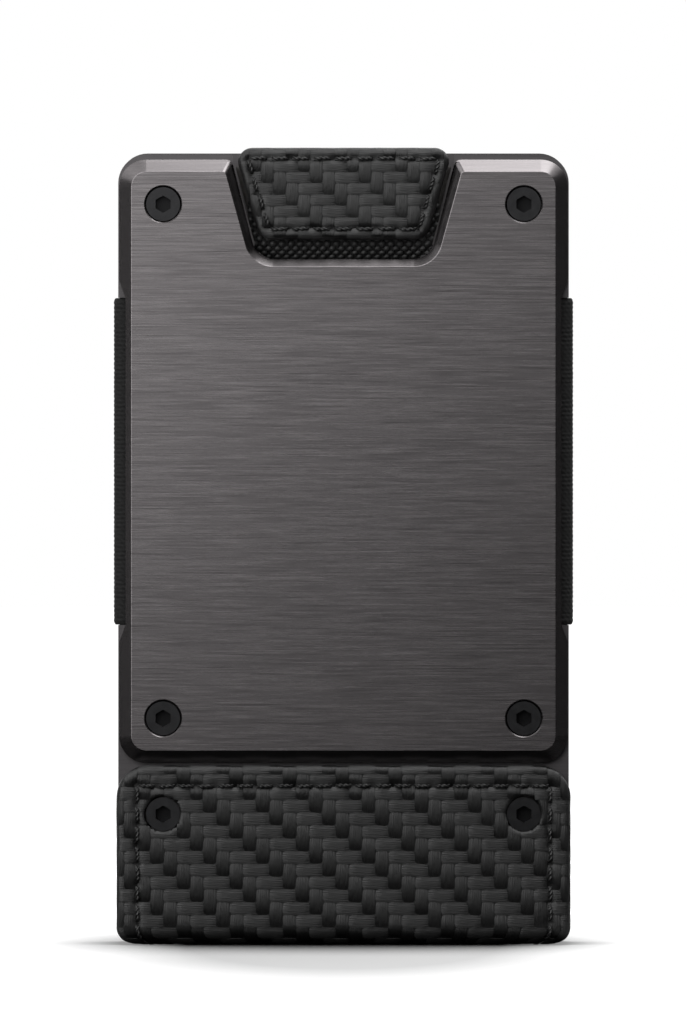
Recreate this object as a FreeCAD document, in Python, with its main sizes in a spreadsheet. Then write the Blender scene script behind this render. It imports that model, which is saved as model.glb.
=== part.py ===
import FreeCAD, Part
import Sketcher
import math
import os

# Pull-tab metal card holder with a spring money clip, in millimetres.
# It stands on its leather spine: +Z is up, the front faces -Y, and the origin is
# in the middle of the underside, on the mid-plane of the card pocket.

Vector = FreeCAD.Vector
Rotation = FreeCAD.Rotation

doc = FreeCAD.newDocument("CardHolder")

# ---------------------------------------------------------------- driving sizes
SIZES = {
    # metal sheets
    "body_width": (60.0, "width of both chassis sheets"),
    "body_top": (105.2, "height of the top edge of both chassis sheets"),
    "pocket_gap": (7.4, "distance between the two chassis sheets"),
    "chassis_thick": (1.8, "thickness of a chassis sheet"),
    "chassis_corner": (3.8, "radius of a chassis top corner"),
    "plate_side": (0.15, "how far a cover plate stops short of the chassis's sides"),
    "plate_drop": (0.7, "chassis strip that shows above a plate"),
    "plate_thick": (2.0, "thickness of a cover plate"),
    "plate_corner": (3.6, "radius of a plate corner"),
    "bevel_run": (1.64, "width of the bevel round a plate, across its face"),
    "bevel_rise": (1.2, "depth of that bevel"),
    "edge_ease": (0.12, "radius that eases the edge of a plate's face"),
    # thumb notch in the front
    "notch_deep": (13.25, "depth of the thumb notch below the plate's top edge"),
    "notch_low_half": (11.25, "half width of the notch at its lower edge"),
    "notch_top_half": (14.9, "half width of the notch at the plate's top edge"),
    "notch_corner": (2.8, "radius of the notch's lower corners"),
    "notch_bevel": (1.0, "width of the bevel round the notch, across the face"),
    "notch_lip": (1.0, "radius where the notch runs out at the top edge"),
    "notch_ridge": (0.8, "radius of the ridge between the plate's bevel and the notch's"),
    "chassis_notch_drop": (1.6, "how much lower the chassis notch reaches"),
    "chassis_notch_side": (0.9, "room between the strap and the chassis notch"),
    "chassis_notch_ease": (0.3, "room between the tab's back leather and that notch"),
    "back_rise": (0.4, "how much higher the back chassis stands than the front one"),
    # elastic band and the places cut for it
    "elastic_inset": (18.4, "distance of the band from each end of a plate"),
    "elastic_thick": (0.8, "thickness of the band"),
    "elastic_ease": (0.05, "room round the band in its channel"),
    "channel_side": (0.25, "depth of the channel in the chassis edges"),
    "relief_deep": (0.85, "depth of the side reliefs in a plate"),
    "relief_run": (2.3, "height of each slanted end of a relief"),
    # leather spine
    "spine_side": (0.33, "how far the spine leather stands proud of the chassis's sides"),
    "spine_top": (24.0, "height of the spine's side panels"),
    "leather_thick": (1.3, "thickness of the spine leather"),
    "lining_thick": (0.7, "thickness of its lining"),
    "lining_inset": (0.9, "how far the lining stops short of the leather"),
    "spine_corner": (4.4, "radius of the spine's top corners"),
    "fold_radius": (2.6, "outer radius where the spine turns under"),
    "seam_gap": (0.2, "gap between the spine and a plate"),
    "fold_clear": (0.1, "room between the spine's lining and a chassis"),
    # countersunk hex-socket screws
    "screw_edge": (6.0, "distance of a screw from the chassis's side"),
    "screw_inset": (5.95, "distance of a plate screw from the plate's end"),
    "spine_screw_rise": (17.4, "height of a spine screw"),
    "head_wide": (4.5, "diameter of a screw head"),
    "head_land": (0.05, "straight rim of a screw head"),
    "head_sink": (0.1, "how far a head lies below its surface"),
    "sink_wide": (5.1, "diameter of a countersink at its surface"),
    "shank_wide": (2.5, "diameter of a screw's thread"),
    "plate_hole": (2.8, "clearance hole in a plate or leather"),
    "tapped_hole": (2.56, "tapped hole in a chassis"),
    "screw_short_of": (0.2, "how far a screw stops short of the pocket"),
    "socket_flats": (2.0, "hex key size"),
    "socket_deep": (1.3, "depth of the hex socket"),
    # pull strap and tab
    "strap_width": (25.4, "width of the webbing"),
    "strap_thick": (0.8, "thickness of the webbing"),
    "strap_clear": (0.3, "room between the webbing and a chassis or the spine"),
    "strap_split": (6.0, "height where the sliding run ends and the fold starts"),
    "strap_split_gap": (0.3, "gap in the model at that place"),
    "strap_bend": (1.2, "outer radius of the webbing's folds"),
    "strap_end_drop": (7.2, "how far the anchored end lies below the chassis's top edge"),
    "jog_start": (0.35, "how far below the notch's edge the strap starts to step forward"),
    "jog_rise": (2.4, "height of that step"),
    "tab_rise": (1.0, "how far the tab stands above the chassis"),
    "tab_show": (2.45, "webbing that shows between the notch and the tab"),
    "tab_clear": (0.65, "gap beside the tab in the notch"),
    "tab_top_corner": (2.0, "radius of the tab's top corners"),
    "tab_low_corner": (2.4, "radius of the tab's lower corners"),
    "tab_sink": (0.3, "how far the tab lies behind the plate's face"),
    "tab_leather": (1.3, "thickness of the tab's front leather"),
    "tab_stiffener": (1.1, "thickness of the tab's core"),
    "tab_backing": (1.0, "thickness of the tab's back leather"),
    "core_inset": (1.0, "how far the core stops short of the leather"),
    "backing_top_drop": (1.4, "how far the back leather's top lies below the chassis's"),
    "backing_low_rise": (4.2, "how far its lower edge lies above the tab's"),
    "backing_show": (0.45, "how far it shows beside the tab"),
    # rivets that anchor the strap
    "rivet_side": (8.0, "distance of a rivet from the middle"),
    "rivet_inset": (5.0, "distance of a rivet from the strap's end"),
    "rivet_head": (5.0, "diameter of a rivet's head"),
    "rivet_head_thick": (0.4, "thickness of that head"),
    "rivet_shank": (2.4, "diameter of a rivet's shank"),
    "rivet_ease": (0.1, "room round a rivet's shank, on the diameter"),
    # money clip
    "clip_width": (20.0, "width of the spring strip"),
    "clip_thick": (1.0, "thickness of the spring strip"),
    "clip_low_rise": (4.3, "how far the clip starts above the plate's lower edge"),
    "clip_flat": (13.9, "length of the flat foot"),
    "clip_step_rise": (2.6, "height of the step that lifts the strip off the plate"),
    "clip_root_rise": (2.0, "straight length between the step and the tongue"),
    "clip_root_gap": (0.2, "gap in the model between foot and tongue"),
    "clip_step": (1.5, "how far the step lifts the strip"),
    "clip_touch_gap": (0.3, "gap under that bend when the clip is empty"),
    "clip_tip_drop": (11.0, "how far the tip lies below the plate's top edge"),
    "clip_lip": (7.5, "height of the flared tip above the bend that grips the notes"),
    "clip_flare": (2.8, "how far the tip flares out"),
    "clip_corner": (3.5, "radius of the clip's corners"),
    "clip_bend": (3.0, "inner radius of the tongue's bends"),
    "clip_screw_first": (3.9, "distance of the lower clip screw from the clip's edge"),
    "clip_screw_pitch": (6.4, "distance between the clip screws"),
    "clip_hole": (3.4, "hole in the clip for its screws"),
    "clip_plate_hole": (2.9, "hole in the back plate for the clip screws"),
}

sheet = doc.addObject("Spreadsheet::Sheet", "Sizes")
for row, (alias, (size, meaning)) in enumerate(SIZES.items(), start=1):
    sheet.set(f"A{row}", meaning)
    sheet.set(f"B{row}", str(size))
    sheet.setAlias(f"B{row}", alias)
doc.recompute()


def size_of(expression):
    return float(sheet.evalExpression(expression))


def plus(*terms):
    return "(" + " + ".join(terms) + ")"


def minus(first, *others):
    return "(" + " - ".join((first,) + others) + ")"


def larger(first, second):
    return f"max({first}; {second})"


def of(alias):
    return f"Sizes.{alias}"


def half(alias):
    return f"(Sizes.{alias} / 2)"


# Distances from the mid-plane of the pocket, the same on the front and the back.
POCKET = half("pocket_gap")
CHASSIS = plus(POCKET, of("chassis_thick"))
PLATE = plus(CHASSIS, of("plate_thick"))
LINING = plus(CHASSIS, of("lining_thick"))
LEATHER = plus(LINING, of("leather_thick"))
CHANNEL = minus(CHASSIS, of("elastic_thick"), of("elastic_ease"), of("elastic_ease"))
STRAP_OUT = minus(POCKET, of("strap_clear"))
STRAP_IN = minus(STRAP_OUT, of("strap_thick"))
CLIP = plus(PLATE, of("clip_thick"))
CLIP_RAISED = plus(PLATE, of("clip_step"))

# Distances from the middle, left and right alike.
BODY_HALF = half("body_width")
PLATE_HALF = minus(BODY_HALF, of("plate_side"))
SPINE_HALF = plus(BODY_HALF, of("spine_side"))
SCREW_HALF = minus(BODY_HALF, of("screw_edge"))

# Heights.
LINING_TOP = plus(of("leather_thick"), of("lining_thick"))
CHASSIS_LOW = plus(LINING_TOP, of("fold_clear"))
PLATE_LOW = plus(of("spine_top"), of("seam_gap"))
PLATE_TOP = minus(of("body_top"), of("plate_drop"))
NOTCH_LOW = minus(PLATE_TOP, of("notch_deep"))
ELASTIC_LOW = plus(PLATE_LOW, of("elastic_inset"))
ELASTIC_TOP = minus(PLATE_TOP, of("elastic_inset"))
CHANNEL_LOW = minus(ELASTIC_LOW, of("elastic_ease"))
CHANNEL_TOP = plus(ELASTIC_TOP, of("elastic_ease"))
PLATE_SCREW_LOW = plus(PLATE_LOW, of("screw_inset"))
PLATE_SCREW_HIGH = minus(PLATE_TOP, of("screw_inset"))
TAB_TOP = plus(of("body_top"), of("tab_rise"))
TAB_LOW = plus(NOTCH_LOW, of("tab_show"))
BACKING_TOP = minus(of("body_top"), of("backing_top_drop"))
BACKING_LOW = plus(TAB_LOW, of("backing_low_rise"))
STRAP_END = minus(of("body_top"), of("strap_end_drop"))
RIVET_RISE = minus(STRAP_END, of("rivet_inset"))
CLIP_LOW = plus(PLATE_LOW, of("clip_low_rise"))
CLIP_FLAT_TOP = plus(CLIP_LOW, of("clip_flat"))
CLIP_STEP_TOP = plus(CLIP_FLAT_TOP, of("clip_step_rise"))
CLIP_ROOT = plus(CLIP_STEP_TOP, of("clip_root_rise"))
CLIP_TIP = minus(PLATE_TOP, of("clip_tip_drop"))
CLIP_TOUCH = minus(CLIP_TIP, of("clip_lip"))
CLIP_SCREW_LOW = plus(CLIP_LOW, of("clip_screw_first"))
CLIP_SCREW_HIGH = plus(CLIP_SCREW_LOW, of("clip_screw_pitch"))


def notch_wall(up):
    """Half width of the thumb notch at a height."""
    lean = f"{minus(of('notch_top_half'), of('notch_low_half'))} / {of('notch_deep')}"
    return f"({of('notch_low_half')} + {minus(up, NOTCH_LOW)} * {lean})"


def backing_half(up):
    """Half width of the tab's back leather at a height."""
    return plus(notch_wall(up), minus(of("backing_show"), of("tab_clear")))


# How far a cutting outline runs past the edge that it cuts.
PAST = "5"
FRONT = -1
BACK = 1
NEAR_ENOUGH = 0.002
BEVEL_TAPER = -45


# ------------------------------------------------------------- sketch and pad
def origin_plane(body, role):
    for feature in body.Origin.OriginFeatures:
        if feature.Role == role:
            return feature
    raise RuntimeError(f"no {role} in {body.Name}")


def attached_sketch(body, name, role, lift):
    sketch = body.newObject("Sketcher::SketchObject", name)
    sketch.AttachmentSupport = [(origin_plane(body, role), "")]
    sketch.MapMode = "FlatFace"
    sketch.setExpression("AttachmentOffset.Base.z", lift)
    return sketch


def pin_point(sketch, geometry, point, across, up):
    for kind, expression in (("DistanceX", across), ("DistanceY", up)):
        constraint = Sketcher.Constraint(kind, -1, 1, geometry, point, size_of(expression))
        index = sketch.addConstraint(constraint)
        sketch.setExpression(f"Constraints[{index}]", expression)


def draw_outline(sketch, corners, arcs=None):
    """Closed outline. arcs gives (centre across, centre up, radius) for the stretch after a corner."""
    arcs = arcs or {}
    spots = [Vector(size_of(across), size_of(up), 0) for across, up in corners]
    count = len(corners)
    first = sketch.GeometryCount
    ends = []
    for index in range(count):
        start, stop = spots[index], spots[(index + 1) % count]
        if index not in arcs:
            sketch.addGeometry(Part.LineSegment(start, stop), False)
            ends.append((1, 2))
            continue
        across, up, radius = arcs[index]
        centre = Vector(size_of(across), size_of(up), 0)
        circle = Part.Circle(centre, Vector(0, 0, 1), size_of(radius))
        anticlockwise = (start - centre).cross(stop - centre).z > 0
        low, high = (start, stop) if anticlockwise else (stop, start)
        low_angle, high_angle = circle.parameter(low), circle.parameter(high)
        if high_angle < low_angle:
            high_angle += 2 * math.pi
        sketch.addGeometry(Part.ArcOfCircle(circle, low_angle, high_angle), False)
        ends.append((1, 2) if anticlockwise else (2, 1))
    for index in range(count):
        following = (index + 1) % count
        meeting = (first + index, ends[index][1], first + following, ends[following][0])
        sketch.addConstraint(Sketcher.Constraint("Coincident", *meeting))
    for index, (across, up) in enumerate(corners):
        pin_point(sketch, first + index, ends[index][0], across, up)
    for index, (across, up, radius) in arcs.items():
        constraint = Sketcher.Constraint("Radius", first + index, size_of(radius))
        number = sketch.addConstraint(constraint)
        sketch.setExpression(f"Constraints[{number}]", radius)


def draw_circles(sketch, centres, diameter):
    for across, up in centres:
        centre = Vector(size_of(across), size_of(up), 0)
        circle = Part.Circle(centre, Vector(0, 0, 1), size_of(diameter) / 2)
        geometry = sketch.addGeometry(circle, False)
        index = sketch.addConstraint(Sketcher.Constraint("Diameter", geometry, size_of(diameter)))
        sketch.setExpression(f"Constraints[{index}]", diameter)
        pin_point(sketch, geometry, 3, across, up)


def pad(body, sketch, length):
    feature = body.newObject("PartDesign::Pad", f"{body.Name}_pad")
    feature.Profile = sketch
    feature.setExpression("Length", length)
    doc.recompute()
    return feature


def facing_pad(label, side, corners, near, far):
    """A sheet that lies between two distances from the mid-plane, front or back."""
    body = doc.addObject("PartDesign::Body", label)
    body.Label = label
    lift = near if side == FRONT else f"-{far}"
    sketch = attached_sketch(body, f"{label}_outline", "XZ_Plane", lift)
    draw_outline(sketch, corners)
    pad(body, sketch, minus(far, near))
    return body


def facing_cut(body, side, name, near, far, corners=None, arcs=None, centres=None, diameter=None):
    """A cut of the same kind, which has to take something away."""
    lift = far if side == FRONT else f"-{near}"
    sketch = attached_sketch(body, f"{body.Name}_{name}_outline", "XZ_Plane", lift)
    if corners:
        draw_outline(sketch, corners, arcs)
    if centres:
        draw_circles(sketch, centres, diameter)
    before = body.Shape.Volume
    feature = body.newObject("PartDesign::Pocket", f"{body.Name}_{name}")
    feature.Profile = sketch
    feature.setExpression("Length", minus(far, near))
    doc.recompute()
    if body.Shape.Volume > before - NEAR_ENOUGH:
        raise RuntimeError(f"{feature.Name} cuts nothing")
    return feature


def strip_pad(label, profile, half_width):
    """A strip bent in the YZ plane, with its full width along X."""
    body = doc.addObject("PartDesign::Body", label)
    body.Label = label
    sketch = attached_sketch(body, f"{label}_profile", "YZ_Plane", f"-{half_width}")
    draw_outline(sketch, profile)
    pad(body, sketch, f"2 * {half_width}")
    return body


# ------------------------------------------------------- fillets and chamfers
def edge_names(feature, wanted):
    names = []
    for number, edge in enumerate(feature.Shape.Edges, start=1):
        if wanted(edge):
            names.append(f"Edge{number}")
    if not names:
        raise RuntimeError(f"no edge to dress on {feature.Name}")
    return names


def dress(body, kind, name, wanted, size, second=None):
    base = body.Tip
    before = body.Shape.Volume
    feature = body.newObject(f"PartDesign::{kind}", f"{body.Name}_{name}")
    feature.Base = (base, edge_names(base, wanted))
    if kind == "Fillet":
        feature.setExpression("Radius", size)
    else:
        feature.setExpression("Size", size)
        if second:
            feature.ChamferType = "Two distances"
            feature.setExpression("Size2", second)
    doc.recompute()
    if abs(body.Shape.Volume - before) < NEAR_ENOUGH / 10:
        raise RuntimeError(f"{feature.Name} changes nothing")
    return feature


def runs_along(axis, spots):
    """Straight edges along one axis that pass through any of the given spots."""
    others = [index for index in range(3) if index != "XYZ".index(axis)]
    places = [[size_of(value) for value in spot] for spot in spots]

    def wanted(edge):
        points = [vertex.Point for vertex in edge.Vertexes]
        if len(points) != 2:
            return False
        for place in places:
            gaps = [abs(point[others[k]] - place[k]) for point in points for k in (0, 1)]
            if max(gaps) < NEAR_ENOUGH:
                return True
        return False

    return wanted


def rim_at(level, radius=None):
    """Edges that lie in the plane y = level: circles of a radius, or all the others."""
    place = size_of(level)

    def wanted(edge):
        box = edge.BoundBox
        if abs(box.YMin - place) > NEAR_ENOUGH or abs(box.YMax - place) > NEAR_ENOUGH:
            return False
        round_edge = isinstance(edge.Curve, Part.Circle) and edge.Closed
        if radius is None:
            return not round_edge
        return round_edge and abs(edge.Curve.Radius - size_of(radius)) < NEAR_ENOUGH

    return wanted


def level(side, distance):
    return f"-{distance}" if side == FRONT else distance


def mirrored(points):
    """An outline from its right half, listed from the bottom up."""
    left = [(f"-{across}", up) for across, up in reversed(points)]
    return points + left


def both_sides(*spots):
    return [(sign + across, up) for across, up in spots for sign in ("", "-")]


# --------------------------------------------------------------- metal sheets
def chassis(label, side, top):
    """Inner sheet with the channel for the elastic band and tapped holes."""
    wide = BODY_HALF
    waist = minus(wide, of("channel_side"))
    outline = mirrored([
        (wide, CHASSIS_LOW),
        (wide, CHANNEL_LOW),
        (waist, CHANNEL_LOW),
        (waist, CHANNEL_TOP),
        (wide, CHANNEL_TOP),
        (wide, top),
    ])
    body = facing_pad(label, side, outline, POCKET, CHASSIS)
    corners = both_sides((wide, top))
    dress(body, "Fillet", "corners", runs_along("Y", corners), of("chassis_corner"))
    past = plus(wide, PAST)
    channel = mirrored([(past, CHANNEL_LOW), (past, CHANNEL_TOP)])
    facing_cut(body, side, "channel", CHANNEL, CHASSIS, channel)
    rows = (PLATE_SCREW_LOW, PLATE_SCREW_HIGH, of("spine_screw_rise"))
    screws = both_sides(*[(SCREW_HALF, up) for up in rows])
    facing_cut(body, side, "threads", POCKET, CHASSIS, centres=screws, diameter=of("tapped_hole"))
    return body


def front_chassis():
    body = chassis("front_chassis", FRONT, of("body_top"))
    low_half = plus(half("strap_width"), of("chassis_notch_side"))
    # The notch lets through the back leather or the strap, whichever is wider.
    top_half = larger(plus(backing_half(BACKING_TOP), of("chassis_notch_ease")), low_half)
    low = minus(NOTCH_LOW, of("chassis_notch_drop"))
    notch = mirrored([(low_half, low), (top_half, of("body_top")), (top_half, plus(of("body_top"), PAST))])
    facing_cut(body, FRONT, "notch", POCKET, CHASSIS, notch)
    low_corners = both_sides((low_half, low))
    dress(body, "Fillet", "notch_corners", runs_along("Y", low_corners), of("notch_bevel"))


def back_chassis():
    body = chassis("back_chassis", BACK, plus(of("body_top"), of("back_rise")))
    rivets = both_sides((of("rivet_side"), RIVET_RISE))
    hole = plus(of("rivet_shank"), of("rivet_ease"))
    facing_cut(body, BACK, "rivet_holes", POCKET, CHASSIS, centres=rivets, diameter=hole)


def plate(label, side):
    """Cover plate: bevelled all round, cut back at the sides for the elastic band."""
    wide = PLATE_HALF
    outline = mirrored([(wide, PLATE_LOW), (wide, PLATE_TOP)])
    body = facing_pad(label, side, outline, CHASSIS, PLATE)
    corners = both_sides((wide, PLATE_LOW), (wide, PLATE_TOP))
    dress(body, "Fillet", "corners", runs_along("Y", corners), of("plate_corner"))
    face = level(side, PLATE)
    dress(body, "Chamfer", "bevel", rim_at(face), of("bevel_rise"), of("bevel_run"))
    face_top = max(edge.BoundBox.ZMax for edge in body.Shape.Edges if rim_at(face)(edge))
    if abs(face_top - size_of(minus(PLATE_TOP, of("bevel_run")))) > NEAR_ENOUGH:
        raise RuntimeError(f"the bevel of {label} leans the wrong way")
    waist = minus(wide, of("relief_deep"))
    past = plus(wide, PAST)
    for name, sign in (("right", ""), ("left", "-")):
        relief = [
            (sign + waist, ELASTIC_LOW),
            (sign + wide, minus(ELASTIC_LOW, of("relief_run"))),
            (sign + past, minus(ELASTIC_LOW, of("relief_run"))),
            (sign + past, plus(ELASTIC_TOP, of("relief_run"))),
            (sign + wide, plus(ELASTIC_TOP, of("relief_run"))),
            (sign + waist, ELASTIC_TOP),
        ]
        facing_cut(body, side, f"relief_{name}", CHASSIS, PLATE, relief)
    return body


def plate_holes(body, side):
    screws = both_sides((SCREW_HALF, PLATE_SCREW_LOW), (SCREW_HALF, PLATE_SCREW_HIGH))
    facing_cut(body, side, "holes", CHASSIS, PLATE, centres=screws, diameter=of("plate_hole"))
    rims = rim_at(level(side, PLATE), half("plate_hole"))
    dress(body, "Chamfer", "countersinks", rims, f"(({of('sink_wide')} - {of('plate_hole')}) / 2)")


def notch_cut(body, name, far, near, widening, lip, taper):
    """Thumb notch, open at the top. It may be widened, tapered and end in a rounded lip."""
    low = minus(NOTCH_LOW, widening)
    low_half = plus(of("notch_low_half"), widening)
    lean = f"atan({minus(of('notch_top_half'), of('notch_low_half'))} / {of('notch_deep')})"
    corner = plus(of("notch_corner"), widening)
    reach = f"({corner} / tan(45 deg + {lean} / 2))"
    corner_side = (f"({low_half} + {reach} * sin({lean}))", f"({low} + {reach} * cos({lean}))")
    past = plus(PLATE_TOP, PAST)
    right = [(minus(low_half, reach), low), corner_side]
    arcs = {0: (minus(low_half, reach), plus(low, corner), corner)}
    if lip:
        lip_up = minus(PLATE_TOP, lip)
        lip_across = f"({low_half} + {minus(lip_up, low)} * tan({lean}) + {lip} / cos({lean}))"
        right.append((f"({lip_across} - {lip} * cos({lean}))", f"({lip_up} + {lip} * sin({lean}))"))
        right.append((lip_across, PLATE_TOP))
        right.append((lip_across, past))
        arcs[2] = (lip_across, lip_up, lip)
    else:
        right.append((f"({low_half} + {minus(past, low)} * tan({lean}))", past))
    last = 2 * len(right) - 2
    for index, (across, up, radius) in list(arcs.items()):
        arcs[last - index] = (f"-{across}", up, radius)
    feature = facing_cut(body, FRONT, name, near, far, mirrored(right), arcs)
    if taper:
        feature.TaperAngle = taper
        doc.recompute()
    return feature


def between_bevels(edge):
    """The two sharp ridges where the notch's bevel meets the plate's."""
    face = -size_of(PLATE)
    foot = face + size_of(of("notch_bevel"))
    low = size_of(minus(PLATE_TOP, of("bevel_run")))
    points = sorted((vertex.Point for vertex in edge.Vertexes), key=lambda point: point.y)
    if len(points) != 2 or abs(points[0].x - points[1].x) < NEAR_ENOUGH:
        return False
    reaches = abs(points[0].y - face) < NEAR_ENOUGH and abs(points[1].y - foot) < NEAR_ENOUGH
    return reaches and points[0].z > low - NEAR_ENOUGH


def front_plate():
    body = plate("front_plate", FRONT)
    notch_cut(body, "notch", PLATE, CHASSIS, "0", of("notch_lip"), 0)
    # The bevel slopes at 45 degrees, so it is as deep as it is wide.
    bevel = of("notch_bevel")
    notch_cut(body, "notch_bevel", PLATE, minus(PLATE, bevel), bevel, None, BEVEL_TAPER)
    dress(body, "Fillet", "ridges", between_bevels, of("notch_ridge"))
    plate_holes(body, FRONT)
    dress(body, "Fillet", "eased_face", rim_at(level(FRONT, PLATE)), of("edge_ease"))


def back_plate():
    body = plate("back_plate", BACK)
    plate_holes(body, BACK)
    screws = [("0", CLIP_SCREW_LOW), ("0", CLIP_SCREW_HIGH)]
    facing_cut(body, BACK, "clip_holes", CHASSIS, PLATE, centres=screws, diameter=of("clip_plate_hole"))
    dress(body, "Fillet", "eased_face", rim_at(level(BACK, PLATE)), of("edge_ease"))


# --------------------------------------------------------------------- screws
def turned(label, parts, socket=None):
    """Solid of revolution from cones, each (low radius, high radius, start, height)."""
    pieces = []
    for number, (low, high, start, height) in enumerate(parts, start=1):
        cone = doc.addObject("Part::Cone", f"{label}_turn_{number}")
        cone.setExpression("Radius1", low)
        cone.setExpression("Radius2", high)
        cone.setExpression("Height", height)
        cone.setExpression("Placement.Base.z", start)
        pieces.append(cone)
    whole = doc.addObject("Part::MultiFuse", f"{label}_turned")
    whole.Shapes = pieces
    if socket:
        prism = doc.addObject("Part::Prism", f"{label}_socket")
        prism.Polygon = 6
        prism.setExpression("Circumradius", f"{socket[0]} / 2 / cos(30)")
        prism.setExpression("Height", socket[1])
        prism.Placement = FreeCAD.Placement(Vector(0, 0, 0), Rotation(Vector(0, 0, 1), 30))
        cut = doc.addObject("Part::Cut", label)
        cut.Base = whole
        cut.Tool = prism
        whole = cut
    whole.Label = label
    return whole


def stand_in_place(solid, side, across, distance, up):
    """Turn local +Z to point into the body from the front or the back."""
    solid.Placement = FreeCAD.Placement(Vector(0, 0, 0), Rotation(Vector(1, 0, 0), 90 * side))
    solid.setExpression("Placement.Base.x", across)
    solid.setExpression("Placement.Base.y", level(side, distance))
    solid.setExpression("Placement.Base.z", up)


def screw(label, side, across, up, surface, tip):
    """Countersunk screw: local z = 0 is the top of its head."""
    head = half("head_wide")
    shank = half("shank_wide")
    slope = minus(head, shank)
    length = minus(surface, of("head_sink"), tip)
    under_head = plus(of("head_land"), slope)
    parts = [
        (head, head, "0", of("head_land")),
        (head, shank, of("head_land"), slope),
        (shank, shank, under_head, minus(length, under_head)),
    ]
    solid = turned(label, parts, (of("socket_flats"), of("socket_deep")))
    stand_in_place(solid, side, across, minus(surface, of("head_sink")), up)


def all_screws():
    tip = plus(POCKET, of("screw_short_of"))
    rows = (("top", PLATE_SCREW_HIGH), ("bottom", PLATE_SCREW_LOW))
    hands = (("left", "-"), ("right", ""))
    for place, side in (("front", FRONT), ("back", BACK)):
        for hand, sign in hands:
            across = sign + SCREW_HALF
            for row_name, up in rows:
                screw(f"{place}_screw_{row_name}_{hand}", side, across, up, PLATE, tip)
            screw(f"{place}_spine_screw_{hand}", side, across, of("spine_screw_rise"), LEATHER, tip)
    clip_tip = plus(CHASSIS, of("screw_short_of"))
    screw("clip_screw_lower", BACK, "0", CLIP_SCREW_LOW, CLIP, clip_tip)
    screw("clip_screw_upper", BACK, "0", CLIP_SCREW_HIGH, CLIP, clip_tip)


# -------------------------------------------------------------- leather spine
def spine_layer(label, inner, outer, half_width, low, high, corner, bend, screw_sink):
    """One layer of the spine: up the front, under the pocket and up the back."""
    thick = minus(outer, inner)
    profile = [
        (f"-{outer}", low),
        (outer, low),
        (outer, high),
        (inner, high),
        (inner, plus(low, thick)),
        (f"-{inner}", plus(low, thick)),
        (f"-{inner}", high),
        (f"-{outer}", high),
    ]
    body = strip_pad(label, profile, half_width)
    folds = [(f"-{outer}", low), (outer, low)]
    dress(body, "Fillet", "fold", runs_along("X", folds), bend)
    corners = both_sides((half_width, high))
    dress(body, "Fillet", "corners", runs_along("Y", corners), corner)
    centres = both_sides((SCREW_HALF, of("spine_screw_rise")))
    hole = of("plate_hole")
    for name, side in (("front", FRONT), ("back", BACK)):
        facing_cut(body, side, f"{name}_holes", inner, outer, centres=centres, diameter=hole)
        if screw_sink:
            rims = rim_at(level(side, outer), f"({hole} / 2)")
            deep = f"(({of('sink_wide')} - {hole}) / 2)"
            dress(body, "Chamfer", f"{name}_sinks", rims, deep)


def spine_leather():
    spine_layer("spine_leather", LINING, LEATHER, SPINE_HALF, "0", of("spine_top"),
                of("spine_corner"), of("fold_radius"), True)


def spine_lining():
    half_width = minus(SPINE_HALF, of("lining_inset"))
    high = minus(of("spine_top"), of("lining_inset"))
    corner = minus(of("spine_corner"), of("lining_inset"))
    bend = minus(of("fold_radius"), of("leather_thick"))
    spine_layer("spine_lining", CHASSIS, LINING, half_width, of("leather_thick"), high, corner, bend, False)


# --------------------------------------------------------------- elastic band
def elastic_band():
    """Closed loop that runs between each plate and its chassis."""
    body = doc.addObject("PartDesign::Body", "elastic_band")
    body.Label = "elastic_band"
    inner_x = plus(minus(BODY_HALF, of("channel_side")), of("elastic_ease"))
    outer_x = plus(inner_x, of("elastic_thick"))
    outer_y = minus(CHASSIS, of("elastic_ease"))
    inner_y = minus(outer_y, of("elastic_thick"))
    sketch = attached_sketch(body, "elastic_band_outline", "XY_Plane", ELASTIC_LOW)
    for across, deep in ((outer_x, outer_y), (inner_x, inner_y)):
        loop = [(across, f"-{deep}"), (across, deep), (f"-{across}", deep), (f"-{across}", f"-{deep}")]
        draw_outline(sketch, loop)
    pad(body, sketch, minus(ELASTIC_TOP, ELASTIC_LOW))
    outside = [(a + outer_x, b + outer_y) for a in ("", "-") for b in ("", "-")]
    inside = [(a + inner_x, b + inner_y) for a in ("", "-") for b in ("", "-")]
    dress(body, "Fillet", "outer_bends", runs_along("Z", outside), plus(of("elastic_thick"), of("channel_side")))
    # Tight enough to clear the chassis's square edges.
    dress(body, "Fillet", "inner_bends", runs_along("Z", inside), f"(2 * {of('elastic_ease')})")


# --------------------------------------------------------- pull strap and tab
TAB_FACE = minus(PLATE, of("tab_sink"))
TAB_CORE = minus(TAB_FACE, of("tab_leather"))
TAB_STRAP = minus(TAB_CORE, of("tab_stiffener"))
TAB_BACKING = minus(TAB_STRAP, of("strap_thick"))


def tab_layer(label, near, far, low, high, low_half, top_half, low_corner, top_corner):
    outline = mirrored([(low_half, low), (top_half, high)])
    body = facing_pad(label, FRONT, outline, near, far)
    if low_corner:
        dress(body, "Fillet", "low_corners", runs_along("Y", both_sides((low_half, low))), low_corner)
        dress(body, "Fillet", "top_corners", runs_along("Y", both_sides((top_half, high))), top_corner)


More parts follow.
